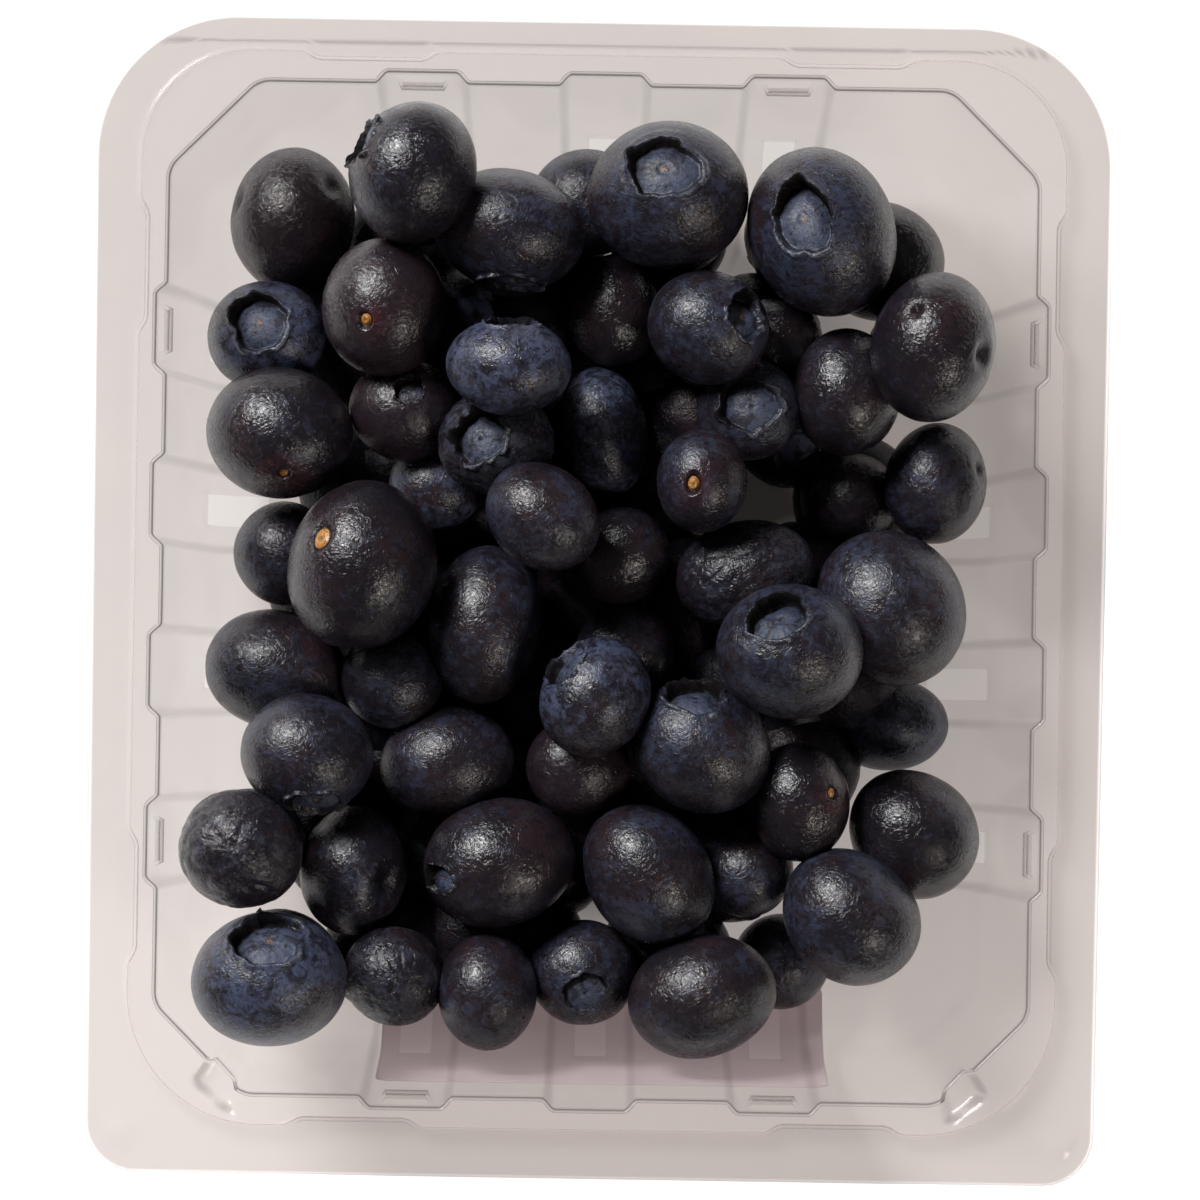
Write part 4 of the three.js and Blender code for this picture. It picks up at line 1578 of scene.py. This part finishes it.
@dataclass
class HeapRule:
    """Where every berry lies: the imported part's heap is laid by this same rule.

    Each table row says where a berry covers the plane of the rim for an eye over the tray.
    The berries are laid in turn, and each is moved along its line of sight to the height at
    which it rests on the floor, on a wall or on the berries that are there.

    The fields from grid to seed are those of the bottom layer, and the ones that start with
    prop those of the berries that hold others up from below.
    """

    FACTOR = 16807
    MODULUS = 2147483647

    tray: Tray
    gap: float = 0.35
    eye_back: float = -14.0
    eye_above: float = 648.0
    eye_turn: float = math.radians(0.93)
    squeeze: float = 0.92
    depth: float = 0.94
    top: float = 45.0
    rounds: int = 8
    grid: Pair = (16.6, 14.6)
    stray: float = 1.3
    widths: Pair = (15.0, 18.0)
    flatness: Pair = (0.86, 0.96)
    apart: float = 0.43
    overhang: float = 0.6
    covered: int = 6
    gap_clear: float = 0.45
    highest: float = 15.0
    seed: int = 20611
    prop_inward: float = 0.96
    prop_long: float = 0.92
    prop_short: float = 0.86
    prop_squeeze: float = 0.93
    prop_lowest: float = 15.0
    prop_crowded: float = 0.55

    def turned(self, x: float, y: float) -> Pair:
        """A place in the eye's axes, turned into the tray's."""
        cos, sin = math.cos(self.eye_turn), math.sin(self.eye_turn)
        return x * cos - y * sin, x * sin + y * cos

    def lift(self, berry: Berry, height: float) -> None:
        """Puts a berry at a height on its line of sight, and widens it as it comes nearer.

        Args:
            berry: the berry.
            height: of its middle.
        """
        berry.z = height
        berry.widened = (self.tray.height + self.eye_above - height) / self.eye_above
        berry.x = berry.seen_x * berry.widened
        berry.y = self.eye_back + (berry.seen_y - self.eye_back) * berry.widened
        berry.rise = (berry.long + berry.short) / 4 * berry.widened * self.depth

    def height_by_wall(self, berry: Berry) -> float:
        """Lowest height at which a berry clears the leaning walls and corner cuts.

        Args:
            berry: the berry.

        Returns:
            The greatest of height of the tray - (room - lean) / tan(draft) over the walls.
        """
        tray, x, y = self.tray, abs(berry.x), abs(berry.y)
        lean = berry.short / 2 * berry.widened / math.cos(tray.draft) + self.gap
        cut = tray.half_width + tray.half_length - tray.corner_cut
        spare = (tray.half_width - x, tray.half_length - y, (cut - x - y) / math.sqrt(2))
        return max(tray.height - (room - lean) / math.tan(tray.draft) for room in spare)

    def height_on(self, berry: Berry, other: Berry) -> float:
        """Height at which a berry rests on another.

        Args:
            berry: the berry that is lowered.
            other: the one that is there.

        Returns:
            The other's height plus both rises times sqrt(1 - aside²), or 0 where the berry
            passes it by.
        """
        angle = math.atan2(berry.y - other.y, berry.x - other.x)
        reach = (berry.half_along(angle) + other.half_along(angle)) * self.squeeze
        aside = math.hypot(berry.x - other.x, berry.y - other.y) / reach
        if aside >= 1:
            return 0.0
        return other.z + (berry.rise + other.rise) * self.squeeze * math.sqrt(1 - aside**2)

    def settle(self, berry: Berry, laid: list[Berry]) -> Berry:
        """Lowers a berry until it rests on what is laid.

        Args:
            berry: the berry.
            laid: the berries that are there.

        Returns:
            The berry, in its place.
        """
        self.lift(berry, berry.short / 2)
        for _ in range(self.rounds):
            floor = self.tray.sheet + self.gap + berry.rise
            rests = [self.height_on(berry, other) for other in laid]
            rest = max(floor, self.height_by_wall(berry), *rests, 0.0)
            self.lift(berry, min(self.top - berry.rise, rest))
        return berry

    def cover_count(self, x: float, y: float, width: float, shown: list[Berry]) -> int:
        """How many of eight points round a spot are hidden by the berries that show.

        Args:
            x: of the spot.
            y: of the spot.
            width: of the circle that the points lie on.
            shown: the berries that show.

        Returns:
            The number of points.
        """
        count = 0
        for angle in (math.radians(45 * step) for step in range(8)):
            edge_x, edge_y = x + width / 2 * math.cos(angle), y + width / 2 * math.sin(angle)
            count += any(
                math.hypot(edge_x - b.seen_x, edge_y - b.seen_y)
                < (b.long + b.short) / 4 + self.overhang
                for b in shown
            )
        return count

    def bottom_layer(self, shown: list[Berry]) -> list[Berry]:
        """The buried berries, on a staggered grid, only where the ones that show hide them.

        Args:
            shown: the berries that show.

        Returns:
            The berries of the bottom layer.
        """
        state = self.seed

        def between(low: float, high: float) -> float:
            """The next repeatable draw.

            Args:
                low: the least that it can be.
                high: the greatest.

            Returns:
                A number between them.
            """
            nonlocal state
            state = state * self.FACTOR % self.MODULUS
            return low + state / self.MODULUS * (high - low)

        gaps = [self.turned(*gap) for gap in GAPS]
        columns = math.ceil(self.tray.half_width / self.grid[0])
        rows = math.ceil(self.tray.half_length / self.grid[1])
        laid: list[Berry] = []
        for row in range(-rows, rows + 1):
            for column in range(-columns, columns + 1):
                x = (column + abs(row) % 2 / 2) * self.grid[0] + between(-self.stray, self.stray)
                y = row * self.grid[1] + between(-self.stray, self.stray)
                long = between(*self.widths)
                short = long * between(*self.flatness)
                berry = Berry(x, y, long, short, between(0, math.pi))
                free = all(
                    math.hypot(x - b.seen_x, y - b.seen_y) > (long + b.long) * self.apart
                    for b in laid
                )
                off = all(math.hypot(x - gx, y - gy) > long * self.gap_clear for gx, gy in gaps)
                hidden = self.cover_count(x, y, long, shown) >= self.covered
                if free and off and hidden and self.settle(berry, laid).z <= self.highest:
                    laid.append(berry)
        return laid

    def prop_under(self, berry: Berry) -> Berry:
        """The smaller berry that holds another up from below, on the same line of sight.

        Args:
            berry: the berry that is held.

        Returns:
            The prop, in its place.
        """
        prop = Berry(
            berry.seen_x * self.prop_inward,
            berry.seen_y * self.prop_inward,
            berry.short * self.prop_long,
            berry.short * self.prop_short,
            berry.turn,
        )
        self.lift(prop, berry.z)
        self.lift(prop, berry.z - (berry.rise + prop.rise) * self.prop_squeeze)
        return prop

    def crowded(self, prop: Berry, laid: list[Berry]) -> bool:
        """Whether a prop would lie mostly inside a berry.

        Args:
            prop: the prop.
            laid: the berries that are there.

        Returns:
            True if it would.
        """
        return any(
            math.hypot(prop.x - b.x, prop.y - b.y) + abs(prop.z - b.z)
            < (prop.rise + b.rise) * self.prop_crowded
            for b in laid
        )

    def berries(self) -> list[Berry]:
        """Every berry of the heap, from the floor up.

        Returns:
            The berries, each in its place.
        """
        shown = []
        for x, y, long, short, turn, kind, marks in SHOWN_BERRIES:
            turn = math.radians(turn) + self.eye_turn
            shown.append(Berry(*self.turned(x, y), long, short, turn, kind, marks))
        laid = self.bottom_layer(shown)
        for berry in shown:
            laid.append(self.settle(berry, laid))
        for berry in shown:
            prop = self.prop_under(berry)
            if prop.z >= self.prop_lowest and not self.crowded(prop, laid):
                laid.append(prop)
        return laid


@dataclass(frozen=True)
class BerryGrid:
    """How finely a berry is drawn: rings from pole to pole, and corners round a ring."""

    rings: int
    around: int


@dataclass
class BerryShape:
    """One berry's surface: a ball of radius 1 with its relief, stretched to its three widths.

    The grid's pole lies on the crown, or else on the stem scar, where the rings are closest.
    Fields that end in waves are the count and the slowest and fastest wave of a Ripple, and
    those that start with hidden are of the crown that lies on the hidden side.
    """

    berry: Berry
    grid: BerryGrid
    seed: int
    lumps: float = 0.02
    pimples: float = 0.0022
    wrinkles: float = 0.024
    wrinkle_width: float = 0.25
    lump_waves: Waves = (6, 1.5, 4.0)
    pimple_waves: Waves = (16, 11.0, 22.0)
    wrinkle_waves: Waves = (14, 8.0, 18.0)
    scar_waves: Waves = (5, 6.0, 16.0)
    bloom_waves: Waves = (7, 1.5, 4.5)
    bloom_patch: float = 0.22
    bloom_stray: float = 0.08
    bloom_halo: float = 0.25
    lobes: int = 5
    common_size: float = 0.42
    most_size: float = 0.9
    dense_share: float = 0.42
    dense_reach: float = 1.35
    dense_power: float = 0.8
    scar_reach: float = 1.3
    most_aside: float = 0.985
    hidden_stray: Triple = (0.35, 0.35, 0.2)
    hidden_sizes: Pair = (0.36, 0.46)
    hidden_deep: float = 0.16
    # the side of a crown away from the light, where its hollow's wall is painted darker
    shaded_side: float = math.radians(130.0)

    @cached_property
    def draw(self) -> np.random.Generator:
        """This berry's own repeatable draws."""
        return np.random.default_rng(self.seed)

    @cached_property
    def stretch(self) -> Array:
        """Stretches the ball to the berry's three half widths, and turns it.

        Returns:
            The matrix that does both, in millimetres.
        """
        berry = self.berry
        cos, sin = math.cos(berry.turn), math.sin(berry.turn)
        turn = np.array([[cos, -sin, 0.0], [sin, cos, 0.0], [0.0, 0.0, 1.0]])
        half = berry.widened / 2.0
        return turn @ np.diag([berry.long * half, berry.short * half, berry.rise])

    def way_to(self, mark: Mark) -> Array:
        """Direction on the ball of what shows at the mark's place from above.

        Args:
            mark: the mark.

        Returns:
            A unit direction (u, v, sqrt(1 - u² - v²)), never quite level.
        """
        berry = self.berry
        mean = (berry.long + berry.short) / 4.0 * berry.widened
        flat = np.linalg.inv(self.stretch[:2, :2]) @ np.array([mark.across, mark.up]) * mean
        share = np.linalg.norm(flat)
        flat = flat * min(1.0, self.most_aside / max(share, 1e-6))
        return np.append(flat, math.sqrt(1.0 - flat @ flat))

    @cached_property
    def marks(self) -> list[tuple[Mark, Array]]:
        """The marks and their directions, the crown first.

        Returns:
            The marks that show, and a crown on the hidden side where none does.
        """
        found = [(mark, self.way_to(mark)) for mark in self.berry.marks]
        found.sort(key=lambda pair: list(Form).index(pair[0].form))
        if not found or found[0][0].form != Form.CROWN:
            down = self.draw.normal(size=3) * self.hidden_stray - [0.0, 0.0, 1.0]
            if found and found[0][0].form == Form.SCAR:
                down = -found[0][1] + self.draw.normal(size=3) * 0.1
            if self.berry.kind == Kind.BURIED:
                down = self.draw.normal(size=3)
            size = float(self.draw.uniform(*self.hidden_sizes))
            hidden = crown(0.0, 0.0, size, self.hidden_deep)
            found.append((hidden, down / np.linalg.norm(down)))
        return found

    @cached_property
    def basis(self) -> Array:
        """The grid's own axes.

        Returns:
            Three unit directions square to each other, the last of which is the pole.
        """
        pole = self.marks[0][1]
        side = np.cross([0.0, 1.0, 0.001], pole)
        side /= np.linalg.norm(side)
        return np.stack([side, np.cross(pole, side), pole])

    @cached_property
    def rings(self) -> Array:
        """Places the rings: dense over the mark at the pole, even beyond it.

        Returns:
            The angle of each from the pole.
        """
        mark = self.marks[0][0]
        size = self.angle_of(mark) * (1.0 if mark.form == Form.CROWN else self.scar_reach)
        dense = int(self.grid.rings * self.dense_share)
        even = np.linspace(0.0, 1.0, dense + 1)[1:]
        near = even**self.dense_power * size * self.dense_reach
        far = np.linspace(near[-1], math.pi, self.grid.rings - dense + 2)[1:-1]
        return np.concatenate([near, far])

    def angle_of(self, mark: Mark) -> float:
        """Angle between a mark's axis and its edge."""
        return math.asin(min(mark.size, self.most_size))

    def crown_relief(self, mark: Mark, gap: Array, round_: Array) -> dict[str, Array]:
        """Relief and colour masks of a crown, from the angle off its axis and the angle round it.

        With t as the angle off the axis over the ring's own angle, the disc lies sunk up to
        t = 0.84 and is a little higher in its middle, the wall of the hollow rises to the
        ring's crest at t = 1, and the outside falls back to the skin by t = 1.3. The crest's
        height follows five lobes and finer teeth.

        Args:
            mark: the crown.
            gap: angle off the axis.
            round_: angle round it.

        Returns:
            Relief, outward lean, and the masks of the disc, laid stronger on the lit side as
            painted light, of the hollow's dry wall, darkest as painted shade away from the light,
            of the pale crest, with a painted highlight on the lit side, and of the dot.
        """
        draw = np.random.default_rng(self.seed + 7)
        phase = draw.uniform(0, 2 * math.pi, 5)
        waves = zip((4, 9, 13, 22), phase, (0.13, 0.12, 0.08, 0.04))
        teeth = sum(np.sin(round_ * n + p) * a for n, p, a in waves)
        turn = (round_ + phase[0]) % (2 * math.pi / self.lobes) - math.pi / self.lobes
        corner = math.cos(math.pi / self.lobes) / np.cos(turn)
        lobe = np.abs(np.sin(turn * self.lobes / 2.0)) ** 1.5
        size = self.angle_of(mark)
        uneven = 0.07 * np.sin(round_ * 2 + phase[1]) + 0.05 * np.sin(round_ * 3 + phase[4])
        ring = size * (0.60 + 0.40 * corner + uneven + 0.14 * teeth)
        t = gap / ring
        side = np.cos(round_ - self.shaded_side + 0.35 * np.sin(phase[3]))
        # lit is 1 on the side that faces the light: the colour masks paint light and shade by it
        lit = smooth_step(0.3, -0.6, side)
        ragged = 0.25 + 0.5 * lobe + 3.0 * mark.torn * teeth + 0.15 * side
        ragged = ragged + 0.35 * np.sin(2 * round_ + phase[2])
        crest = (0.003 + 0.046 * np.clip(ragged, 0.0, 1.8)) * mark.size / self.common_size
        tilt = 0.72 + 0.42 * side * np.minimum(t, 1.0) + 0.10 * np.sin(3 * round_ + phase[3]) * t
        floor = -mark.deep * tilt * (0.85 + 0.15 * smooth_step(0.5, 0.86, t))
        hollow = smooth_step(0.985, 0.89, t)
        ridge = crest * smooth_step(0.92, 0.99, t) * smooth_step(1.22, 1.0, t)
        creases = 0.003 * np.sin(round_ * 17 + phase[4]) * smooth_step(0.35, 0.7, t) * hollow
        dot = smooth_step(0.11, 0.05, t)
        streaks = np.sin(9 * round_ + phase[2]) + np.sin(14 * round_ + phase[1])
        pit = 0.025 * smooth_step(0.26, 0.13, t) - 0.03 * dot
        upright = -hollow * floor * np.tan(np.minimum(gap, 1.0)) * 0.9
        wall = smooth_step(0.72 + 0.12 * lit, 0.9, t) * smooth_step(1.06 - 0.05 * lit, 0.99, t)
        band = smooth_step(1.22, 1.03, t)
        fresh = 0.75 * (draw.uniform() < 0.5)
        return {
            "relief": hollow * floor + ridge - pit + creases,
            "lean": upright + ridge * 0.8 * smooth_step(0.94, 1.04, t),
            # partly painted light: the disc's colour is laid stronger on the lit side
            "disc": smooth_step(0.90, 0.82, t) * (1 - dot) * (0.65 + 0.35 * lit),
            # painted shade: the hollow's dry wall is darkest on the side away from the light
            "rim": np.maximum(wall * (1.0 - 0.7 * lit), dot * (1.0 - fresh)),
            # painted highlight: the pale crest shows mostly on the lit side
            "edge": smooth_step(0.95, 1.0, t) * band * np.clip(ragged, 0, 1) * (0.1 + 0.9 * lit),
            "flesh": dot * fresh,
            "halo": np.exp(-(((gap - size) / 0.42) ** 2)) * (1.0 + 0.5 * streaks),
        }

    def scar_relief(self, mark: Mark, way: Array, ways: Array) -> dict[str, Array]:
        """Relief and colour masks of a stem scar.

        With t as the angle off its axis over its own uneven angle, the scar is sunk up to
        t = 0.95 and a little less in its middle, its flesh shows up to t = 1, a dry ring
        lies round it, and the skin beyond is flushed by a bell curve.

        Args:
            mark: the scar.
            way: its direction.
            ways: the directions of the corners.

        Returns:
            Relief, and the masks of the flesh, the dry ring and the flush.
        """
        uneven = 1.0 + 0.12 * Ripple(self.seed + 5, *self.scar_waves).at(ways)
        t = np.arccos(np.clip(ways @ way, -1.0, 1.0)) / math.asin(mark.size) / uneven
        low = np.arccos(np.clip(ways @ (way - [0.0, 0.1, 0.0]), -1.0, 1.0))
        sunk = smooth_step(1.6, 0.95, t) * (0.5 + 0.5 * smooth_step(0.5, 0.9, t))
        return {
            "relief": -mark.deep * sunk,
            "flesh": smooth_step(1.0, 0.8, t) * (1 - 0.6 * smooth_step(0.4, 0.15, t)),
            "rim": smooth_step(0.85, 1.0, t) * smooth_step(1.45, 1.1, t) * 0.7,
            "flush": np.exp(-((low / (2.6 * mark.size)) ** 2)) * mark.torn,
        }

    def shell(self) -> Shell:
        """The berry's closed surface with its marks, in millimetres.

        A corner lies at its direction times 1 + relief, plus its lean away from the pole,
        all of it stretched, turned and moved to the berry's place.

        Returns:
            The shell, with the marks bloom, disc, rim, edge, flesh and flush.
        """
        rings = self.rings
        angle = np.linspace(0.0, 2 * math.pi, self.grid.around, endpoint=False)
        gap, round_ = np.meshgrid(rings, angle, indexing="ij")
        gap = np.concatenate([[0.0], gap.ravel(), [math.pi]])
        round_ = np.concatenate([[0.0], round_.ravel(), [0.0]])
        flat = np.stack([np.cos(round_), np.sin(round_)]) * np.sin(gap)
        ways = np.column_stack([*flat, np.cos(gap)]) @ self.basis
        relief = self.lumps * Ripple(self.seed, *self.lump_waves).at(ways)
        relief += self.pimples * Ripple(self.seed + 1, *self.pimple_waves).at(ways)
        if self.berry.kind == Kind.WRINKLED:
            folds = np.abs(Ripple(self.seed + 2, *self.wrinkle_waves).at(ways))
            relief -= self.wrinkles * np.exp(-((folds / self.wrinkle_width) ** 2))
        lean = np.zeros(len(gap))
        masks = {name: np.zeros(len(gap)) for name in ("disc", "rim", "edge", "flesh", "flush")}
        patch = Ripple(self.seed + 3, *self.bloom_waves).at(ways)
        bloom = BLOOM_OF[self.berry.kind] + self.bloom_patch * patch
        bloom = bloom + self.draw.uniform(-self.bloom_stray, self.bloom_stray)
        for number, (mark, way) in enumerate(self.marks):
            off = np.arccos(np.clip(ways @ way, -1.0, 1.0))
            if mark.form == Form.CROWN:
                turn = np.arctan2(ways[:, 1] - way[1], ways[:, 0] - way[0])
                found = self.crown_relief(mark, off, turn if number else round_)
                relief = relief * (1 - 0.7 * smooth_step(1.5, 1.38, off / self.angle_of(mark)))
                lean += 0.0 if number else found["lean"]
                bloom = bloom + found["halo"] * self.bloom_halo
            elif mark.form == Form.SCAR:
                found = self.scar_relief(mark, way, ways)
            else:
                found = {
                    "relief": -mark.deep * np.exp(-((off / math.asin(mark.size)) ** 2)),
                    # painted shade: the dent's hollow is darkened
                    "rim": 0.7 * np.exp(-((off / mark.size * 1.3) ** 2)),
                }
            relief = relief + found["relief"]
            for name in masks.keys() & found.keys():
                masks[name] = np.maximum(masks[name], found[name])
        tangent = ways * np.cos(gap)[:, None] - self.basis[2]
        tangent /= np.maximum(np.linalg.norm(tangent, axis=1, keepdims=True), 1e-6)
        ball = ways * (1.0 + relief)[:, None] + tangent * lean[:, None]
        place = np.array([self.berry.x, self.berry.y, self.berry.z])
        count, last = self.grid.around, len(gap) - 1
        caps = [
            cap_faces(0, 1, count, opening=True),
            cap_faces(last, last - count, count, opening=False),
        ]
        faces = [np.concatenate(caps), ring_faces(len(rings), count, first=1)]
        return Shell(ball @ self.stretch.T + place, faces, masks | {"bloom": bloom})


@dataclass
class Heap:
    """The heap of berries: a piece for each kind, and a core in painted shade that they lie over.

    The fields that start with core lay out the core's berries on a staggered grid: half
    sizes of the grid, height, steps each way, widths, distance apart, strays and the room
    that each gap keeps.
    """

    tray: Tray
    rule: HeapRule
    shown_grid: BerryGrid = BerryGrid(62, 96)
    wrinkled_grid: BerryGrid = BerryGrid(84, 120)
    buried_grid: BerryGrid = BerryGrid(26, 30)
    core_grid: BerryGrid = BerryGrid(20, 26)
    core_half: Pair = (36.0, 45.0)
    core_height: float = 9.2
    core_reach: int = 4
    core_width: float = 16.5
    core_widths: Pair = (0.92, 1.08)
    core_apart: float = 12.5
    core_rows_closer: float = 0.88
    core_stray: float = 1.2
    core_flat: float = 0.92
    core_short: float = 0.93
    core_seed: int = 17
    core_first_seed: int = 7000
    first_seed: int = 1000
    seed_step: int = 11
    core_wells: Places = (0.2, 1.0, 1.6, 0.6, 0.4)
    clearance: float = 0.12
    clearance_step: float = 0.03
    clearance_steps: int = 9
    give: float = 0.8

    def kept_inside(self, points: Array, number: int = 0) -> Array:
        """Presses what would pass through the tray flat against its floor or its wall.

        A corner is drawn back to the wall's reach at its height: first across, then along,
        then over the slanted corner, where half of what is too much comes off each way.
        Berries that are pressed flat side by side keep a slightly different clearance, so
        that no two of their faces lie in one plane.

        Args:
            points: corners in millimetres.
            number: of the berry.

        Returns:
            The corners, all inside the tray.
        """
        tray = self.tray
        clearance = self.clearance + self.clearance_step * (number % self.clearance_steps)
        z = np.maximum(points[:, 2], tray.sheet + clearance)
        inset = tray.inset(z - tray.sheet) + clearance
        x_most, y_most = tray.half_width - inset, tray.half_length - inset
        x = np.clip(points[:, 0], -x_most, x_most)
        y = np.clip(points[:, 1], -y_most, y_most)
        cut = tray.corner_cut - inset * (2.0 - math.sqrt(2.0))
        over = np.maximum(np.abs(x) + np.abs(y) - (x_most + y_most - cut), 0.0) / 2.0
        return np.column_stack([x - np.sign(x) * over, y - np.sign(y) * over, z])

    def core_berries(self) -> list[Berry]:
        """Berries in painted shade on the floor, pressed together, that close the heap from below.

        They lie on a staggered grid, and leave free what shows of the floor between the
        berries above.

        Returns:
            The berries of the core.
        """
        draw = np.random.default_rng(self.core_seed)
        wells = [(self.rule.turned(*gap), half) for gap, half in zip(GAPS, self.core_wells)]
        found = []
        steps = range(-self.core_reach, self.core_reach + 1)
        for row in steps:
            for column in steps:
                x = (column + row % 2 / 2) * self.core_apart
                y = row * self.core_apart * self.core_rows_closer
                x += draw.uniform(-self.core_stray, self.core_stray)
                y += draw.uniform(-self.core_stray, self.core_stray)
                width = self.core_width * draw.uniform(*self.core_widths)
                berry = Berry(x, y, width, width * self.core_short, draw.uniform(0, math.pi))
                self.rule.lift(berry, self.core_height)
                berry.rise *= self.core_flat
                inside = abs(berry.x) < self.core_half[0] and abs(berry.y) < self.core_half[1]
                clear = (math.hypot(x - gx, y - gy) > width / 2 + half for (gx, gy), half in wells)
                if inside and all(clear):
                    found.append(berry)
        return found

    def settled_inside(self, shell: Shell, number: int) -> Shell:
        """Nudges a berry that meets the wall inwards, and presses flat what still passes it.

        Args:
            shell: the berry.
            number: of the berry.

        Returns:
            The berry, inside the tray.
        """
        pressed = self.kept_inside(shell.corners, number) - shell.corners
        worst = np.abs(pressed[:, :2]).argmax(axis=0)
        shell.corners[:, :2] += pressed[worst, [0, 1]] * self.give
        shell.corners = self.kept_inside(shell.corners, number)
        return shell

    def grid_of(self, berry: Berry) -> BerryGrid:
        """How finely a berry is drawn."""
        special = {Kind.WRINKLED: self.wrinkled_grid, Kind.BURIED: self.buried_grid}
        return special.get(berry.kind, self.shown_grid)

    def build(self) -> list[bpy.types.Object]:
        """Makes every kind of berry and the core, and stands them in for the heap's node.

        Returns:
            The pieces.
        """
        shells: dict[Kind, list[Shell]] = {kind: [] for kind in Kind}
        for number, berry in enumerate(self.rule.berries()):
            seed = self.first_seed + self.seed_step * number
            shell = BerryShape(berry, self.grid_of(berry), seed).shell()
            shells[berry.kind].append(self.settled_inside(shell, number))
        pieces = []
        for kind, found in shells.items():
            piece = Shell.joined(found).make(kind.value)
            piece.data.materials.append(SKINS[kind].material())
            pieces.append(mounted(piece, "berry_heap"))
            LOG.info("%s: %d berries", kind.value, len(found))
        cores = [
            BerryShape(berry, self.core_grid, seed).shell()
            for seed, berry in enumerate(self.core_berries(), self.core_first_seed)
        ]
        core = Shell.joined(cores)
        core.corners = self.kept_inside(core.corners, self.clearance_steps - 1)
        piece = core.make("heap_core_painted_shade")
        # painted shade: the core wears the buried berries' darker skin
        piece.data.materials.append(bpy.data.materials[SKINS[Kind.BURIED].name])
        return pieces + [mounted(piece, "berry_heap")]


# ---- the stage


def mounted(piece: bpy.types.Object, node: str) -> bpy.types.Object:
    """Ties a piece to the part.

    Args:
        piece: the piece.
        node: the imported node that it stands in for.

    Returns:
        The piece.
    """
    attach(piece, "root")
    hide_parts(node)
    LOG.info("%s: %d faces for node %s", piece.name, len(piece.data.polygons), node)
    return piece


@dataclass(frozen=True)
class SoftBox:
    """A square lamp that looks at the punnet.

    Attributes:
        name: of the lamp.
        way: direction to it from the punnet.
        away: distance, in metres.
        side: of the square, in metres.
        power: in watts.
        tint: colour of the light.
    """

    name: str
    way: Triple
    away: float
    side: float
    power: float
    tint: Colour = (1.0, 1.0, 1.0)

    def build(self) -> bpy.types.Object:
        """Hangs the lamp.

        Returns:
            The lamp.
        """
        light = bpy.data.lights.new(self.name, "AREA")
        light.color = self.tint
        light.shape = "SQUARE"
        light.size = self.side
        light.energy = self.power
        lamp = bpy.data.objects.new(self.name, light)
        way = Vector(self.way).normalized()
        lamp.location = way * self.away
        lamp.rotation_euler = way.to_track_quat("Z", "Y").to_euler()
        bpy.context.scene.collection.objects.link(lamp)
        return lamp


@dataclass
class Studio:
    """The pale floor, the soft light and the camera."""

    floor_half: float = 3.0
    floor_gap: float = 0.05
    sky: float = 0.06
    eye: Triple = (0.0, -0.014, 0.693)
    target: Triple = (0.00033, -0.00106, 0.045)
    roll: float = math.radians(0.93)
    lens: float = 155.6
    boxes: tuple[SoftBox, ...] = (
        SoftBox("key", (-0.53, 0.62, 0.75), 1.0, 0.34, 15.0),
        SoftBox("fill", (0.62, -0.62, 0.72), 1.2, 0.22, 4.4, (1.0, 0.9, 0.82)),
    )

    def lay_floor(self) -> bpy.types.Object:
        """Lays the floor, a square a hair below the tray, so that no two faces coincide.

        Returns:
            The floor.
        """
        half = self.floor_half / MM
        corners = np.array([(x, y, 0.0) for x, y in ((-1, -1), (1, -1), (1, 1), (-1, 1))]) * half
        corners[:, 2] = -self.floor_gap
        floor = Shell(corners, [np.array([[0, 1, 2, 3]])]).make("floor")
        floor.data.materials.append(PaleFloor().material())
        return floor

    def hang_sky(self) -> None:
        """Lights the scene evenly from all round with white."""
        world = bpy.data.worlds.new("studio")
        world.use_nodes = True
        background = world.node_tree.nodes["Background"]
        background.inputs["Color"].default_value = (1.0, 1.0, 1.0, 1.0)
        background.inputs["Strength"].default_value = self.sky
        bpy.context.scene.world = world

    def aim_camera(self) -> bpy.types.Object:
        """Sets the camera over the tray, turned a little against it.

        Returns:
            The camera.
        """
        data = bpy.data.cameras.new("camera")
        data.lens = self.lens
        data.sensor_width = 36.0
        camera = bpy.data.objects.new("camera", data)
        eye, target = Vector(self.eye), Vector(self.target)
        back = (eye - target).normalized()
        upward = Vector((-math.sin(self.roll), math.cos(self.roll), 0.0))
        right = upward.cross(back).normalized()
        turn = Matrix((right, back.cross(right), back)).transposed()
        camera.matrix_world = Matrix.Translation(eye) @ turn.to_4x4()
        bpy.context.scene.collection.objects.link(camera)
        bpy.context.scene.camera = camera
        return camera

    def build(self) -> None:
        """Sets up the whole studio."""
        self.lay_floor()
        self.hang_sky()
        self.aim_camera()
        for box in self.boxes:
            box.build()
        bpy.context.scene.view_settings.view_transform = "Standard"


def main() -> None:
    """Builds the punnet on its stage."""
    logging.basicConfig(level=logging.INFO, format="%(name)s %(message)s")
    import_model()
    Studio().build()
    tray = Tray()
    tray.build(ClearPlastic())
    Label(tray).build(LabelPaper())
    Heap(tray, HeapRule(tray)).build()


if __name__ == "__main__":
    main()
